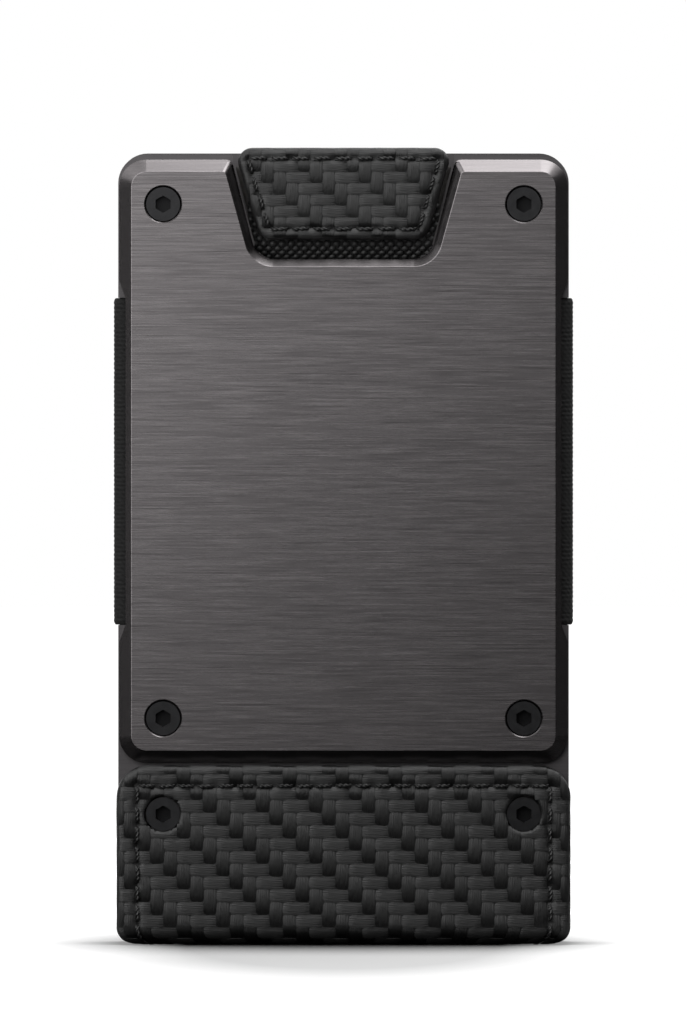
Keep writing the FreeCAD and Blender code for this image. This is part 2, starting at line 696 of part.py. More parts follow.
def pull_tab():
    low_half = minus(notch_wall(TAB_LOW), of("tab_clear"))
    top_half = minus(notch_wall(TAB_TOP), of("tab_clear"))
    low_corner, top_corner = of("tab_low_corner"), of("tab_top_corner")
    tab_layer("tab_front_leather", TAB_CORE, TAB_FACE, TAB_LOW, TAB_TOP, low_half, top_half, low_corner, top_corner)
    inset = of("core_inset")
    tab_layer("tab_core", TAB_STRAP, TAB_CORE, plus(TAB_LOW, inset), minus(TAB_TOP, inset),
              minus(low_half, inset), minus(top_half, inset),
              minus(low_corner, inset), minus(top_corner, f"({inset} / 2)"))
    near = minus(TAB_BACKING, of("tab_backing"))
    tab_layer("tab_back_leather", near, TAB_BACKING, BACKING_LOW, BACKING_TOP,
              backing_half(BACKING_LOW), backing_half(BACKING_TOP), None, None)


def strap_run():
    """Webbing that slides: behind the front chassis, then forward into the tab."""
    jog_low = minus(NOTCH_LOW, of("jog_start"))
    jog_high = plus(jog_low, of("jog_rise"))
    profile = [
        (f"-{STRAP_OUT}", of("strap_split")),
        (f"-{STRAP_OUT}", jog_low),
        (f"-{TAB_STRAP}", jog_high),
        (f"-{TAB_STRAP}", BACKING_TOP),
        (f"-{TAB_BACKING}", BACKING_TOP),
        (f"-{TAB_BACKING}", jog_high),
        (f"-{STRAP_IN}", jog_low),
        (f"-{STRAP_IN}", of("strap_split")),
    ]
    strip_pad("strap_sliding_run", profile, half("strap_width"))


def strap_fold():
    """Webbing that stays: its fold under the cards and its run up the back chassis."""
    low = plus(LINING_TOP, of("strap_clear"))
    low_in = plus(low, of("strap_thick"))
    split = minus(of("strap_split"), of("strap_split_gap"))
    profile = [
        (f"-{STRAP_OUT}", split),
        (f"-{STRAP_OUT}", low),
        (STRAP_OUT, low),
        (STRAP_OUT, STRAP_END),
        (STRAP_IN, STRAP_END),
        (STRAP_IN, low_in),
        (f"-{STRAP_IN}", low_in),
        (f"-{STRAP_IN}", split),
    ]
    body = strip_pad("strap_fold_and_return", profile, half("strap_width"))
    outside = [(f"-{STRAP_OUT}", low), (STRAP_OUT, low)]
    inside = [(f"-{STRAP_IN}", low_in), (STRAP_IN, low_in)]
    dress(body, "Fillet", "outer_fold", runs_along("X", outside), of("strap_bend"))
    dress(body, "Fillet", "inner_fold", runs_along("X", inside), minus(of("strap_bend"), of("strap_thick")))
    rivets = both_sides((of("rivet_side"), RIVET_RISE))
    hole = plus(of("rivet_shank"), of("rivet_ease"))
    facing_cut(body, BACK, "rivet_holes", STRAP_IN, STRAP_OUT, centres=rivets, diameter=hole)


def strap_rivets():
    head = half("rivet_head")
    shank = half("rivet_shank")
    rim = minus(head, of("rivet_head_thick"))
    start = minus(STRAP_IN, of("rivet_head_thick"))
    for hand, sign in (("left", "-"), ("right", "")):
        parts = [
            (rim, head, "0", of("rivet_head_thick")),
            (shank, shank, of("rivet_head_thick"), minus(CHASSIS, of("rivet_ease"), STRAP_IN)),
        ]
        rivet = turned(f"strap_rivet_{hand}", parts)
        rivet.Placement = FreeCAD.Placement(Vector(0, 0, 0), Rotation(Vector(1, 0, 0), -90))
        rivet.setExpression("Placement.Base.x", sign + of("rivet_side"))
        rivet.setExpression("Placement.Base.y", start)
        rivet.setExpression("Placement.Base.z", RIVET_RISE)


# ----------------------------------------------------------------- money clip
def clip_foot():
    """Screwed end of the spring strip, with the step that lifts it off the plate."""
    end = minus(CLIP_ROOT, of("clip_root_gap"))
    raised = plus(CLIP_RAISED, of("clip_thick"))
    profile = [
        (PLATE, CLIP_LOW),
        (CLIP, CLIP_LOW),
        (CLIP, CLIP_FLAT_TOP),
        (raised, CLIP_STEP_TOP),
        (raised, end),
        (CLIP_RAISED, end),
        (CLIP_RAISED, CLIP_STEP_TOP),
        (PLATE, CLIP_FLAT_TOP),
    ]
    body = strip_pad("clip_foot", profile, half("clip_width"))
    corners = both_sides((half("clip_width"), CLIP_LOW))
    dress(body, "Fillet", "corners", runs_along("Y", corners), of("clip_corner"))
    centres = [("0", CLIP_SCREW_LOW), ("0", CLIP_SCREW_HIGH)]
    facing_cut(body, BACK, "holes", PLATE, CLIP, centres=centres, diameter=of("clip_hole"))
    rims = rim_at(CLIP, half("clip_hole"))
    dress(body, "Chamfer", "countersinks", rims, f"(({of('sink_wide')} - {of('clip_hole')}) / 2)")


def round_tip(body, wide, high, radius, far):
    """Cuts both top corners of a leaning strip to a radius, seen from the back."""
    centre_x = minus(wide, radius)
    centre_z = minus(high, radius)
    for name, sign in (("right", ""), ("left", "-")):
        waste = [
            (sign + wide, centre_z),
            (sign + centre_x, high),
            (sign + centre_x, plus(high, PAST)),
            (sign + plus(wide, PAST), plus(high, PAST)),
            (sign + plus(wide, PAST), centre_z),
        ]
        arcs = {0: (sign + centre_x, centre_z, radius)}
        facing_cut(body, BACK, f"{name}_tip", PLATE, far, waste, arcs)


def clip_tongue():
    """Free end of the spring strip: it leans in to its gripping bend and flares out."""
    touch = plus(PLATE, of("clip_touch_gap"))
    tip = plus(touch, of("clip_flare"))
    thick = of("clip_thick")
    profile = [
        (CLIP_RAISED, CLIP_ROOT),
        (plus(CLIP_RAISED, thick), CLIP_ROOT),
        (plus(touch, thick), CLIP_TOUCH),
        (plus(tip, thick), CLIP_TIP),
        (tip, CLIP_TIP),
        (touch, CLIP_TOUCH),
    ]
    body = strip_pad("clip_tongue", profile, half("clip_width"))
    round_tip(body, half("clip_width"), CLIP_TIP, of("clip_corner"), plus(tip, PAST))
    bends = [(touch, CLIP_TOUCH)]
    dress(body, "Fillet", "outer_bend", runs_along("X", bends), plus(of("clip_bend"), thick))
    bends = [(plus(touch, thick), CLIP_TOUCH)]
    dress(body, "Fillet", "inner_bend", runs_along("X", bends), of("clip_bend"))


front_plate()
front_chassis()
back_plate()
back_chassis()
all_screws()
spine_leather()
spine_lining()
elastic_band()
pull_tab()
strap_run()
strap_fold()
strap_rivets()
clip_foot()
clip_tongue()
doc.recompute()


# -------------------------------------------------------------- check and save
def sub_parts():
    used = set()
    for item in doc.Objects:
        if item.TypeId in ("Part::Cut", "Part::MultiFuse"):
            used.update(child.Name for child in item.OutList)
    kinds = ("PartDesign::Body", "Part::Cut", "Part::MultiFuse")
    return [item for item in doc.Objects if item.TypeId in kinds and item.Name not in used]


for item in doc.Objects:
    if "Invalid" in item.State or "Error" in item.State:
        raise RuntimeError(f"{item.Name} failed: {item.State}")

os.makedirs("parts", exist_ok=True)
finished = sub_parts()
for item in finished:
    if item.Shape.isNull() or not item.Shape.isValid() or len(item.Shape.Solids) != 1:
        raise RuntimeError(f"{item.Label} is not one valid solid")
for item in finished:
    item.Shape.exportStep(f"parts/{item.Label}.step")
    print(f"{item.Label}: {item.Shape.Volume:.1f} mm3")
print(f"{len(finished)} sub-parts written")
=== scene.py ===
import math

import bpy
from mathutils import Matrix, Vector, noise


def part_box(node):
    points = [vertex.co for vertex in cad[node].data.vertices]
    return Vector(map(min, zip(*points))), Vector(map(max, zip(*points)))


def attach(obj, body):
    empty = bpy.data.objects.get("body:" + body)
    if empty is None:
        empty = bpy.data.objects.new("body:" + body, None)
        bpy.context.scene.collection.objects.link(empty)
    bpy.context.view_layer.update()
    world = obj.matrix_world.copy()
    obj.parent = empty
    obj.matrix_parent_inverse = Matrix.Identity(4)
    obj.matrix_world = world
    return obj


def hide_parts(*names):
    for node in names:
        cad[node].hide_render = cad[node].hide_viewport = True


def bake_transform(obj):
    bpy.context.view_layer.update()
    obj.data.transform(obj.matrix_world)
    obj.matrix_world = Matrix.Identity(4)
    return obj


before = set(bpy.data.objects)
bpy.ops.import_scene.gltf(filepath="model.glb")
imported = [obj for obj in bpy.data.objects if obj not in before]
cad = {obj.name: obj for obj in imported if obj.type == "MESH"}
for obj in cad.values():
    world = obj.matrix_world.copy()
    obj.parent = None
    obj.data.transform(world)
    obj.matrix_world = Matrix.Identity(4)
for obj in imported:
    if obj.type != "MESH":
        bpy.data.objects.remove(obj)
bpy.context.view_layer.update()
mm = 0.001  # the frame is in metres, and the sizes below are in millimetres
noise.seed_set(5)  # without it, noise_vector gives other values in each run
print("frame loaded:", len(cad), "parts")


def hexColour(code):
    parts = [int(code[at:at + 2], 16) / 255 for at in (1, 3, 5)]
    return (*[p / 12.92 if p <= 0.04045 else ((p + 0.055) / 1.055) ** 2.4 for p in parts], 1.0)


def addNode(tree, kind, inputs=None, **settings):
    node = tree.nodes.new(kind)
    for name, value in settings.items():
        setattr(node, name, value)
    for name, value in (inputs or {}).items():
        if isinstance(value, bpy.types.NodeSocket):
            tree.links.new(value, node.inputs[name])
        else:
            node.inputs[name].default_value = value
    return node


def startMaterial(name):
    material = bpy.data.materials.new(name)
    material.use_nodes = True
    material.node_tree.nodes.clear()
    return material, material.node_tree


def finishMaterial(tree, shader):
    addNode(tree, "ShaderNodeOutputMaterial", {"Surface": shader.outputs[0]})


def pick(*pieces):
    if bpy.context.mode != "OBJECT":
        bpy.ops.object.mode_set(mode="OBJECT")
    bpy.ops.object.select_all(action="DESELECT")
    for piece in pieces:
        piece.select_set(True)
    bpy.context.view_layer.objects.active = pieces[0]


def editing(piece, wantedFaces=None):
    # goes into edit mode with all selected, or with the faces that fit
    pick(piece)
    if wantedFaces:
        piece.data.vertices.foreach_set("select", [False] * len(piece.data.vertices))
        piece.data.edges.foreach_set("select", [False] * len(piece.data.edges))
        for face in piece.data.polygons:
            face.select = wantedFaces(face)
    bpy.ops.object.mode_set(mode="EDIT")
    bpy.ops.mesh.select_mode(type="FACE")
    if not wantedFaces:
        bpy.ops.mesh.select_all(action="SELECT")


def doneEditing():
    bpy.ops.object.mode_set(mode="OBJECT")


def copyOf(piece, place, turn=0.0):
    pick(piece)
    bpy.ops.object.duplicate()
    copy = bpy.context.active_object
    copy.location = place
    copy.rotation_euler = (0, 0, turn)
    bpy.ops.object.transform_apply()
    return copy


def joined(pieces, name):
    pick(*pieces)
    bpy.ops.object.join()
    whole = bpy.context.active_object
    whole.name = name
    return whole


def repeated(piece, across, up, countAcross, countUp):
    # a block of copies with its first one in place
    pick(piece)
    for offset, count in (((across, 0, 0), countAcross), ((0, up, 0), countUp)):
        array = piece.modifiers.new("rows", "ARRAY")
        array.use_relative_offset = False
        array.use_constant_offset = True
        array.constant_offset_displace = offset
        array.count = count
        bpy.ops.object.modifier_apply(modifier=array.name)
    return piece


def smooth(piece, degrees):
    pick(piece)
    bpy.ops.object.shade_smooth_by_angle(angle=math.radians(degrees))


def paint(piece, *materials):
    piece.data.materials.clear()
    for material in materials:
        piece.data.materials.append(material)


# a pale floor, soft lamps, and dark cards at the sides
studio = {
    "lens": 450,
    "frameHigh": 136.2,  # mm of height that the camera takes in at the plate
    "cameraHigh": 57.6,
    "plateFace": -7.5,
    "worldFill": 0.36,   # strength of the white world as fill light
    "lamps": {
        # name: place, aims at, width, height, watts
        "overhead": ((190, -60, 640), (0, 0, 60), 560, 330, 2.35),
        "frontLeft": ((-520, -620, 420), (0, 0, 60), 420, 520, 0.9),
        "rim": ((120, 420, 520), (0, 0, 60), 420, 260, 1.0),
    },
    "cards": {
        # name: place, aims at, width, height, shade
        "rightCard": ((420, -160, 120), (0, 0, 60), 700, 560, "#4e4e4e"),
        "leftCard": ((-460, -40, 60), (0, 0, 60), 460, 420, "#707070"),
        "tableCard": ((0, -370, 2), (0, -370, 900), 1300, 722, "#1c1c1c"),
    },
    # a graded panel that only the gloss sees, bright at the top left
    "panel": {
        "place": (0, -330, 60), "size": 1300,
        "bright": 0.42, "most": 3.0,       # its strength in the middle, and the most that it reaches
        "across": -0.0115, "up": 0.0100,   # growth of that strength for each mm to the right and up
    },
    "floor": {
        "size": 12,                         # metres
        # the paper's colour runs from shut to open: a painted contact shadow
        "shut": "#1c1c1c", "open": "#e6e6e6",
        "shutAt": 0.5, "openAt": 0.98,      # shares of free sky at those two colours
        "reach": 45,                        # mm round a spot that can shut the sky out
        "oval": (1, 0.22, 1),               # the shadow runs further to the front than to the sides
        "glowFrom": 21, "glowFull": 46,     # mm out to the sides
        "glow": 0.9,
    },
}


def aimed(item, place, target):
    item.location = Vector(place) * mm
    item.rotation_euler = (Vector(place) - Vector(target)).to_track_quat("Z", "Y").to_euler()


def placeCamera():
    sensor = 36.0
    distance = studio["frameHigh"] * studio["lens"] / sensor
    high = studio["cameraHigh"]
    bpy.ops.object.camera_add()
    camera = bpy.context.active_object
    camera.name = "camera"
    camera.data.sensor_width = sensor
    camera.data.lens = studio["lens"]
    camera.data.clip_end = 50
    aimed(camera, (0, studio["plateFace"] - distance, high), (0, 0, high))
    bpy.context.scene.camera = camera


def hangLamps():
    for name, (place, target, wide, deep, watts) in studio["lamps"].items():
        bpy.ops.object.light_add(type="AREA")
        lamp = bpy.context.active_object
        lamp.name = name
        lamp.data.shape = "RECTANGLE"
        lamp.data.size, lamp.data.size_y = wide * mm, deep * mm
        lamp.data.energy = watts
        aimed(lamp, place, target)


def hangPanel(name, place, target, wide, deep, material):
    # only reflections see it
    bpy.ops.mesh.primitive_plane_add(size=1)
    panel = bpy.context.active_object
    panel.name = name
    panel.scale = (wide * mm, deep * mm, 1)
    aimed(panel, place, target)
    panel.visible_camera = False
    panel.visible_diffuse = False
    panel.visible_shadow = False
    paint(panel, material)


def hangPanels():
    for name, (place, target, wide, deep, shade) in studio["cards"].items():
        cloth, tree = startMaterial(name + "Cloth")
        finishMaterial(tree, addNode(tree, "ShaderNodeBsdfDiffuse", {"Color": hexColour(shade)}))
        hangPanel(name, place, target, wide, deep, cloth)

    graded = studio["panel"]
    across, up, middle = graded["across"], graded["up"], graded["place"]
    silk, tree = startMaterial("gradedSilk")
    spot = addNode(tree, "ShaderNodeNewGeometry")
    slope = addNode(tree, "ShaderNodeVectorMath", {
        0: spot.outputs["Position"], 1: (across / mm, 0, up / mm)}, operation="DOT_PRODUCT")
    growth = addNode(tree, "ShaderNodeMath", {
        0: slope.outputs["Value"], 1: middle[2] * up}, operation="SUBTRACT")
    power = addNode(tree, "ShaderNodeMath", {0: growth.outputs[0]}, operation="EXPONENT")
    level = addNode(tree, "ShaderNodeMath", {
        0: power.outputs[0], 1: graded["bright"]}, operation="MULTIPLY")
    capped = addNode(tree, "ShaderNodeMath", {
        0: level.outputs[0], 1: graded["most"]}, operation="MINIMUM")
    finishMaterial(tree, addNode(tree, "ShaderNodeEmission", {"Strength": capped.outputs[0]}))
    hangPanel("gradedReflector", middle, (0, 0, middle[2]), graded["size"], graded["size"], silk)


def whiteWorld():
    # white to the eye and in reflections, dimmer as fill light
    world = bpy.data.worlds.new("studioWorld")
    bpy.context.scene.world = world
    world.use_nodes = True
    tree = world.node_tree
    tree.nodes.clear()
    rays = addNode(tree, "ShaderNodeLightPath")
    shiny = addNode(tree, "ShaderNodeMath", {
        0: rays.outputs["Is Camera Ray"], 1: rays.outputs["Is Glossy Ray"]}, operation="MAXIMUM")
    shown = addNode(tree, "ShaderNodeMath", {
        0: shiny.outputs[0], 1: rays.outputs["Is Transmission Ray"]}, operation="MAXIMUM")
    strength = addNode(tree, "ShaderNodeMapRange", {
        "Value": shown.outputs[0], "To Min": studio["worldFill"], "To Max": 1.0})
    sky = addNode(tree, "ShaderNodeBackground", {
        "Color": (1, 1, 1, 1), "Strength": strength.outputs[0]})
    addNode(tree, "ShaderNodeOutputWorld", {"Surface": sky.outputs[0]})


def layFloor():
    paper = studio["floor"]
    bpy.ops.mesh.primitive_plane_add(size=paper["size"])
    floor = bpy.context.active_object
    floor.name = "floor"
    white, tree = startMaterial("paleFloor")
    spot = addNode(tree, "ShaderNodeTexCoord")
    oval = addNode(tree, "ShaderNodeVectorMath", {
        0: spot.outputs["Object"], 1: paper["oval"]}, operation="MULTIPLY")
    far = addNode(tree, "ShaderNodeVectorMath", {0: oval.outputs[0]}, operation="LENGTH")
    # away from the object the paper turns to the white of the background
    glow = addNode(tree, "ShaderNodeMapRange", {
        "Value": far.outputs["Value"], "From Min": paper["glowFrom"] * mm,
        "From Max": paper["glowFull"] * mm, "To Min": 0.0, "To Max": paper["glow"]})
    rays = addNode(tree, "ShaderNodeLightPath")
    seen = addNode(tree, "ShaderNodeMath", {
        0: rays.outputs["Is Camera Ray"], 1: rays.outputs["Is Transmission Ray"]}, operation="MAXIMUM")
    lift = addNode(tree, "ShaderNodeMath", {0: glow.outputs[0], 1: seen.outputs[0]}, operation="MULTIPLY")
    # the paper is painted darker where the object shuts out the sky round a spot: a painted contact shadow
    # at the object's foot
    contactShade = addNode(tree, "ShaderNodeAmbientOcclusion", {"Distance": paper["reach"] * mm}, samples=16)
    tone = addNode(tree, "ShaderNodeValToRGB", {"Fac": contactShade.outputs["AO"]})
    dark, pale = tone.color_ramp.elements
    dark.position, dark.color = paper["shutAt"], hexColour(paper["shut"])
    pale.position, pale.color = paper["openAt"], hexColour(paper["open"])
    matt = addNode(tree, "ShaderNodeBsdfDiffuse", {"Color": tone.outputs[0]})
    light = addNode(tree, "ShaderNodeEmission", {"Strength": lift.outputs[0]})
    finishMaterial(tree, addNode(tree, "ShaderNodeAddShader", {0: matt.outputs[0], 1: light.outputs[0]}))
    paint(floor, white)


bpy.context.scene.view_settings.view_transform = "Standard"
placeCamera()
hangLamps()
hangPanels()
whiteWorld()
layFloor()
print("studio ready")


brushing = {
    "lineHigh": 0.07,   # mm between brush lines: real ones are finer, these are as coarse as shows
    "lineLong": 5.0,
    "bandHigh": 0.12,
    "bandLong": 10.0,
    "scratch": 0.02,            # mm that a line is deep
    "tones": (0.33, 0.68),      # where the dark and the pale metal lie in the noise
    "roughness": (-0.05, 0.06),
    "bevelLines": 0.25,         # the share of the lines that a bevel keeps
    "flatFacing": (0.8, 0.96),  # how squarely a face looks forwards: bevel, flat
    "shadedDepth": (6.9, 7.4),    # mm from the middle: sunk flats that get painted shade, the outer face
}


def brushedMetal(name, colours, roughness, streak, anisotropy, sunk=1.0):
    # anodised aluminium: the brush lines run level, so a lamp's reflection smears up and down
    material, tree = startMaterial(name)
    spot = addNode(tree, "ShaderNodeTexCoord")
    fineMap = addNode(tree, "ShaderNodeMapping", {
        "Vector": spot.outputs["Object"],
        "Scale": (1 / (brushing["lineLong"] * mm), 1 / mm, 1 / (brushing["lineHigh"] * mm))})
    fine = addNode(tree, "ShaderNodeTexNoise", {
        "Vector": fineMap.outputs[0], "Scale": 1.0, "Detail": 2.0, "Roughness": 0.55})
    bandMap = addNode(tree, "ShaderNodeMapping", {
        "Vector": spot.outputs["Object"],
        "Scale": (1 / (brushing["bandLong"] * mm), 0.3 / mm, 1 / (brushing["bandHigh"] * mm))})
    band = addNode(tree, "ShaderNodeTexNoise", {
        "Vector": bandMap.outputs[0], "Scale": 1.0, "Detail": 4.0, "Roughness": 0.65})
    both = addNode(tree, "ShaderNodeMix", {
        "Factor": 0.5, "A": fine.outputs[0], "B": band.outputs[0]}, data_type="FLOAT")
    # the bevels were cut after brushing, so only the flats carry full lines
    facing = addNode(tree, "ShaderNodeNewGeometry")
    sides = addNode(tree, "ShaderNodeSeparateXYZ", {0: facing.outputs["Normal"]})
    outward = addNode(tree, "ShaderNodeMath", {0: sides.outputs["Y"]}, operation="ABSOLUTE")
    bevelFacing, flatFacing = brushing["flatFacing"]
    flat = addNode(tree, "ShaderNodeMapRange", {
        "Value": outward.outputs[0], "From Min": bevelFacing, "From Max": flatFacing,
        "To Min": brushing["bevelLines"], "To Max": 1.0})
    around = addNode(tree, "ShaderNodeMath", {0: both.outputs[0], 1: 0.5}, operation="SUBTRACT")
    mixed = addNode(tree, "ShaderNodeMath", {
        0: around.outputs[0], 1: flat.outputs[0], 2: 0.5}, operation="MULTIPLY_ADD")
    tone = addNode(tree, "ShaderNodeValToRGB", {"Fac": mixed.outputs[0]})
    for step, at, colour in zip(tone.color_ramp.elements, brushing["tones"], colours):
        step.position, step.color = at, hexColour(colour)
    smoother, rougher = brushing["roughness"]
    rough = addNode(tree, "ShaderNodeMapRange", {
        "Value": mixed.outputs[0], "From Min": 0.3, "From Max": 0.7,
        "To Min": roughness + smoother, "To Max": roughness + rougher})
    scratch = addNode(tree, "ShaderNodeMath", {0: flat.outputs[0], 1: streak}, operation="MULTIPLY")
    bump = addNode(tree, "ShaderNodeBump", {
        "Height": fine.outputs[0], "Strength": scratch.outputs[0], "Distance": brushing["scratch"] * mm})
    # flats below the face, such as the notch's lip, are painted darker: painted shade in the recesses
    place = addNode(tree, "ShaderNodeSeparateXYZ", {0: spot.outputs["Object"]})
    depth = addNode(tree, "ShaderNodeMath", {0: place.outputs["Y"]}, operation="ABSOLUTE")
    shadeStartDepth, faceDepth = brushing["shadedDepth"]
    shown = addNode(tree, "ShaderNodeMapRange", {
        "Value": depth.outputs[0], "From Min": shadeStartDepth * mm, "From Max": faceDepth * mm,
        "To Min": sunk, "To Max": 1.0})
    recessShade = addNode(tree, "ShaderNodeMapRange", {
        "Value": outward.outputs[0], "From Min": bevelFacing, "From Max": flatFacing,
        "To Min": 1.0, "To Max": shown.outputs[0]})
    colour = addNode(tree, "ShaderNodeVectorMath", {
        0: tone.outputs[0], "Scale": recessShade.outputs[0]}, operation="SCALE")
    along = addNode(tree, "ShaderNodeTangent", direction_type="RADIAL", axis="Z")
    shader = addNode(tree, "ShaderNodeBsdfPrincipled", {
        "Base Color": colour.outputs[0], "Metallic": 1.0, "Roughness": rough.outputs[0],
        "Anisotropic": anisotropy, "Anisotropic Rotation": 0.25,
        "Normal": bump.outputs[0], "Tangent": along.outputs[0]})
    finishMaterial(tree, shader)
    return material


def grainedMaterial(name, colours, roughness, grain, depth, metallic=0.0, sheen=0.0, level=0.5):
    # an even finish with a fine grain: oxide on steel, the flat leather, the tab's board
    material, tree = startMaterial(name)
    spot = addNode(tree, "ShaderNodeTexCoord")
    cloud = addNode(tree, "ShaderNodeTexNoise", {
        "Vector": spot.outputs["Object"], "Scale": 0.25 / (grain * mm), "Detail": 3.0})
    cells = addNode(tree, "ShaderNodeTexVoronoi", {
        "Vector": spot.outputs["Object"], "Scale": 1 / (grain * mm)}, feature="SMOOTH_F1")
    tone = addNode(tree, "ShaderNodeMix", {
        "Factor": cloud.outputs[0], "A": hexColour(colours[0]), "B": hexColour(colours[1])},
        data_type="RGBA")
    rough = addNode(tree, "ShaderNodeMapRange", {
        "Value": cloud.outputs[0], "To Min": roughness - 0.07, "To Max": roughness + 0.07})
    bump = addNode(tree, "ShaderNodeBump", {
        "Height": cells.outputs[0], "Strength": 0.5, "Distance": depth * mm})
    shader = addNode(tree, "ShaderNodeBsdfPrincipled", {
        "Base Color": tone.outputs[2], "Metallic": metallic, "Roughness": rough.outputs[0],
        "Sheen Weight": sheen, "Specular IOR Level": level, "Normal": bump.outputs[0]})
    finishMaterial(tree, shader)
    return material


towSkin = {
    "ribs": (1.2, 8.0, 1.0),  # changes of the noise along a tow and across it
    "mottle": 0.3,            # patches for each mm
    "ribDeep": 0.09,
}


def towMaterial(name, colours, roughness, anisotropy):
    # embossed coated leather: each tow is a band of fine parallel ribs along its own length
    material, tree = startMaterial(name)
    ownUv = addNode(tree, "ShaderNodeUVMap", uv_map="UVMap")
    spot = addNode(tree, "ShaderNodeTexCoord")
    ribs = addNode(tree, "ShaderNodeMapping", {"Vector": ownUv.outputs[0], "Scale": towSkin["ribs"]})
    fibre = addNode(tree, "ShaderNodeTexNoise", {
        "Vector": ribs.outputs[0], "Scale": 1.0, "Detail": 2.0, "Roughness": 0.55})
    patch = addNode(tree, "ShaderNodeTexNoise", {
        "Vector": spot.outputs["Object"], "Scale": towSkin["mottle"] / mm, "Detail": 2.0})
    blend = addNode(tree, "ShaderNodeMix", {
        "Factor": 0.4, "A": fibre.outputs[0], "B": patch.outputs[0]}, data_type="FLOAT")
    spread = addNode(tree, "ShaderNodeMapRange", {
        "Value": blend.outputs[0], "From Min": 0.36, "From Max": 0.64})
    tone = addNode(tree, "ShaderNodeMix", {
        "Factor": spread.outputs[0], "A": hexColour(colours[0]), "B": hexColour(colours[1])},
        data_type="RGBA")
    rough = addNode(tree, "ShaderNodeMapRange", {
        "Value": spread.outputs[0], "To Min": roughness + 0.08, "To Max": roughness - 0.08})
    bump = addNode(tree, "ShaderNodeBump", {
        "Height": fibre.outputs[0], "Strength": 1.0, "Distance": towSkin["ribDeep"] * mm})
    along = addNode(tree, "ShaderNodeTangent", direction_type="UV_MAP", uv_map="UVMap")
    shader = addNode(tree, "ShaderNodeBsdfPrincipled", {
        "Base Color": tone.outputs[2], "Roughness": rough.outputs[0], "Anisotropic": anisotropy,
        "Anisotropic Rotation": 0.25, "Normal": bump.outputs[0], "Tangent": along.outputs[0]})
    finishMaterial(tree, shader)
    return material


def elasticWeave(name, colours, rib, yarn):
    # covered rubber: level ribs, crossed by fine yarn that gives it a dry cloth look
    material, tree = startMaterial(name)
    spot = addNode(tree, "ShaderNodeTexCoord")
    turn = 2 * math.pi / 20  # a wave texture repeats every 2 pi / 20 of its scale
    ribs = addNode(tree, "ShaderNodeTexWave", {
        "Vector": spot.outputs["Object"], "Scale": turn / (rib * mm), "Distortion": 0.8,
        "Detail": 1.0, "Detail Scale": 2.0}, bands_direction="Z")
    cross = addNode(tree, "ShaderNodeTexWave", {
        "Vector": spot.outputs["Object"], "Scale": turn / (yarn * mm), "Distortion": 1.2,
        "Detail": 1.0, "Detail Scale": 2.0}, bands_direction="DIAGONAL")
    height = addNode(tree, "ShaderNodeMix", {
        "Factor": 0.45, "A": ribs.outputs["Fac"], "B": cross.outputs["Fac"]}, data_type="FLOAT")
    fuzz = addNode(tree, "ShaderNodeTexNoise", {"Vector": spot.outputs["Object"], "Scale": 5 / mm})
    rough = addNode(tree, "ShaderNodeMix", {
        "Factor": 0.3, "A": height.outputs[0], "B": fuzz.outputs[0]}, data_type="FLOAT")
    tone = addNode(tree, "ShaderNodeMix", {
        "Factor": rough.outputs[0], "A": hexColour(colours[0]), "B": hexColour(colours[1])},
        data_type="RGBA")
    bump = addNode(tree, "ShaderNodeBump", {
        "Height": rough.outputs[0], "Strength": 1.0, "Distance": 0.10 * mm})
    shader = addNode(tree, "ShaderNodeBsdfPrincipled", {
        "Base Color": tone.outputs[2], "Roughness": 0.85, "Specular IOR Level": 0.35,
        "Normal": bump.outputs[0]})
    finishMaterial(tree, shader)
    return material


# the plate's flats below its face keep 0.3 of its colour: painted shade
plateMetal = brushedMetal("brushedAnodisedPlate", ("#5b5859", "#868283"), 0.25, 0.12, 0.35, 0.3)
chassisMetal = brushedMetal("anodisedChassis", ("#4d4b4c", "#575556"), 0.44, 0.08, 0.3)
springMetal = brushedMetal("brushedSpringSteel", ("#5c5a5b", "#6a6869"), 0.27, 0.3, 0.5)
screwOxide = grainedMaterial("blackOxideSteel", ("#2b2b2c", "#353536"), 0.42, 0.25, 0.01, 1.0)
rivetOxide = grainedMaterial("darkRivetSteel", ("#3c3c3d", "#4a4a4b"), 0.38, 0.3, 0.01, 1.0)
plainHide = grainedMaterial("smoothHide", ("#35312e", "#2b2826"), 0.55, 0.35, 0.04)
tabBoard = grainedMaterial("tabBoard", ("#1d1c1c", "#242323"), 0.7, 0.3, 0.03)
towAcross = towMaterial("towAcross", ("#070707", "#1e1e1e"), 0.47, 0.7)
# the upright tows get darker colours than the level ones: painted shade for the same leather with its fibres
# upright
towUprightShaded = towMaterial("towUprightShaded", ("#050505", "#131313"), 0.50, 0.7)
hideGround = grainedMaterial("hideGround", ("#080808", "#0e0e0e"), 0.6, 0.3, 0.03)
threadBlack = grainedMaterial("waxedThread", ("#0c0c0c", "#1a1a1a"), 0.5, 0.08, 0.02)
webYarn = grainedMaterial("webbingYarn", ("#141414", "#2e2e2e"), 0.55, 0.12, 0.03)
# the core between the picks is darker than the yarn: painted shade in the gaps of the weave
webGround = grainedMaterial("webbingGround", ("#050505", "#080808"), 0.8, 0.2, 0.02)
bandYarn = elasticWeave("elasticYarn", ("#060606", "#1c1c1c"), 0.55, 0.42)

socketShade = {
    "floorDepth": (6.5, 6.95),  # mm from the middle: a socket's floor, the top of a head
    "paintedShade": 0.5,               # what is left of the steel's colour at the floor, as painted shade
}


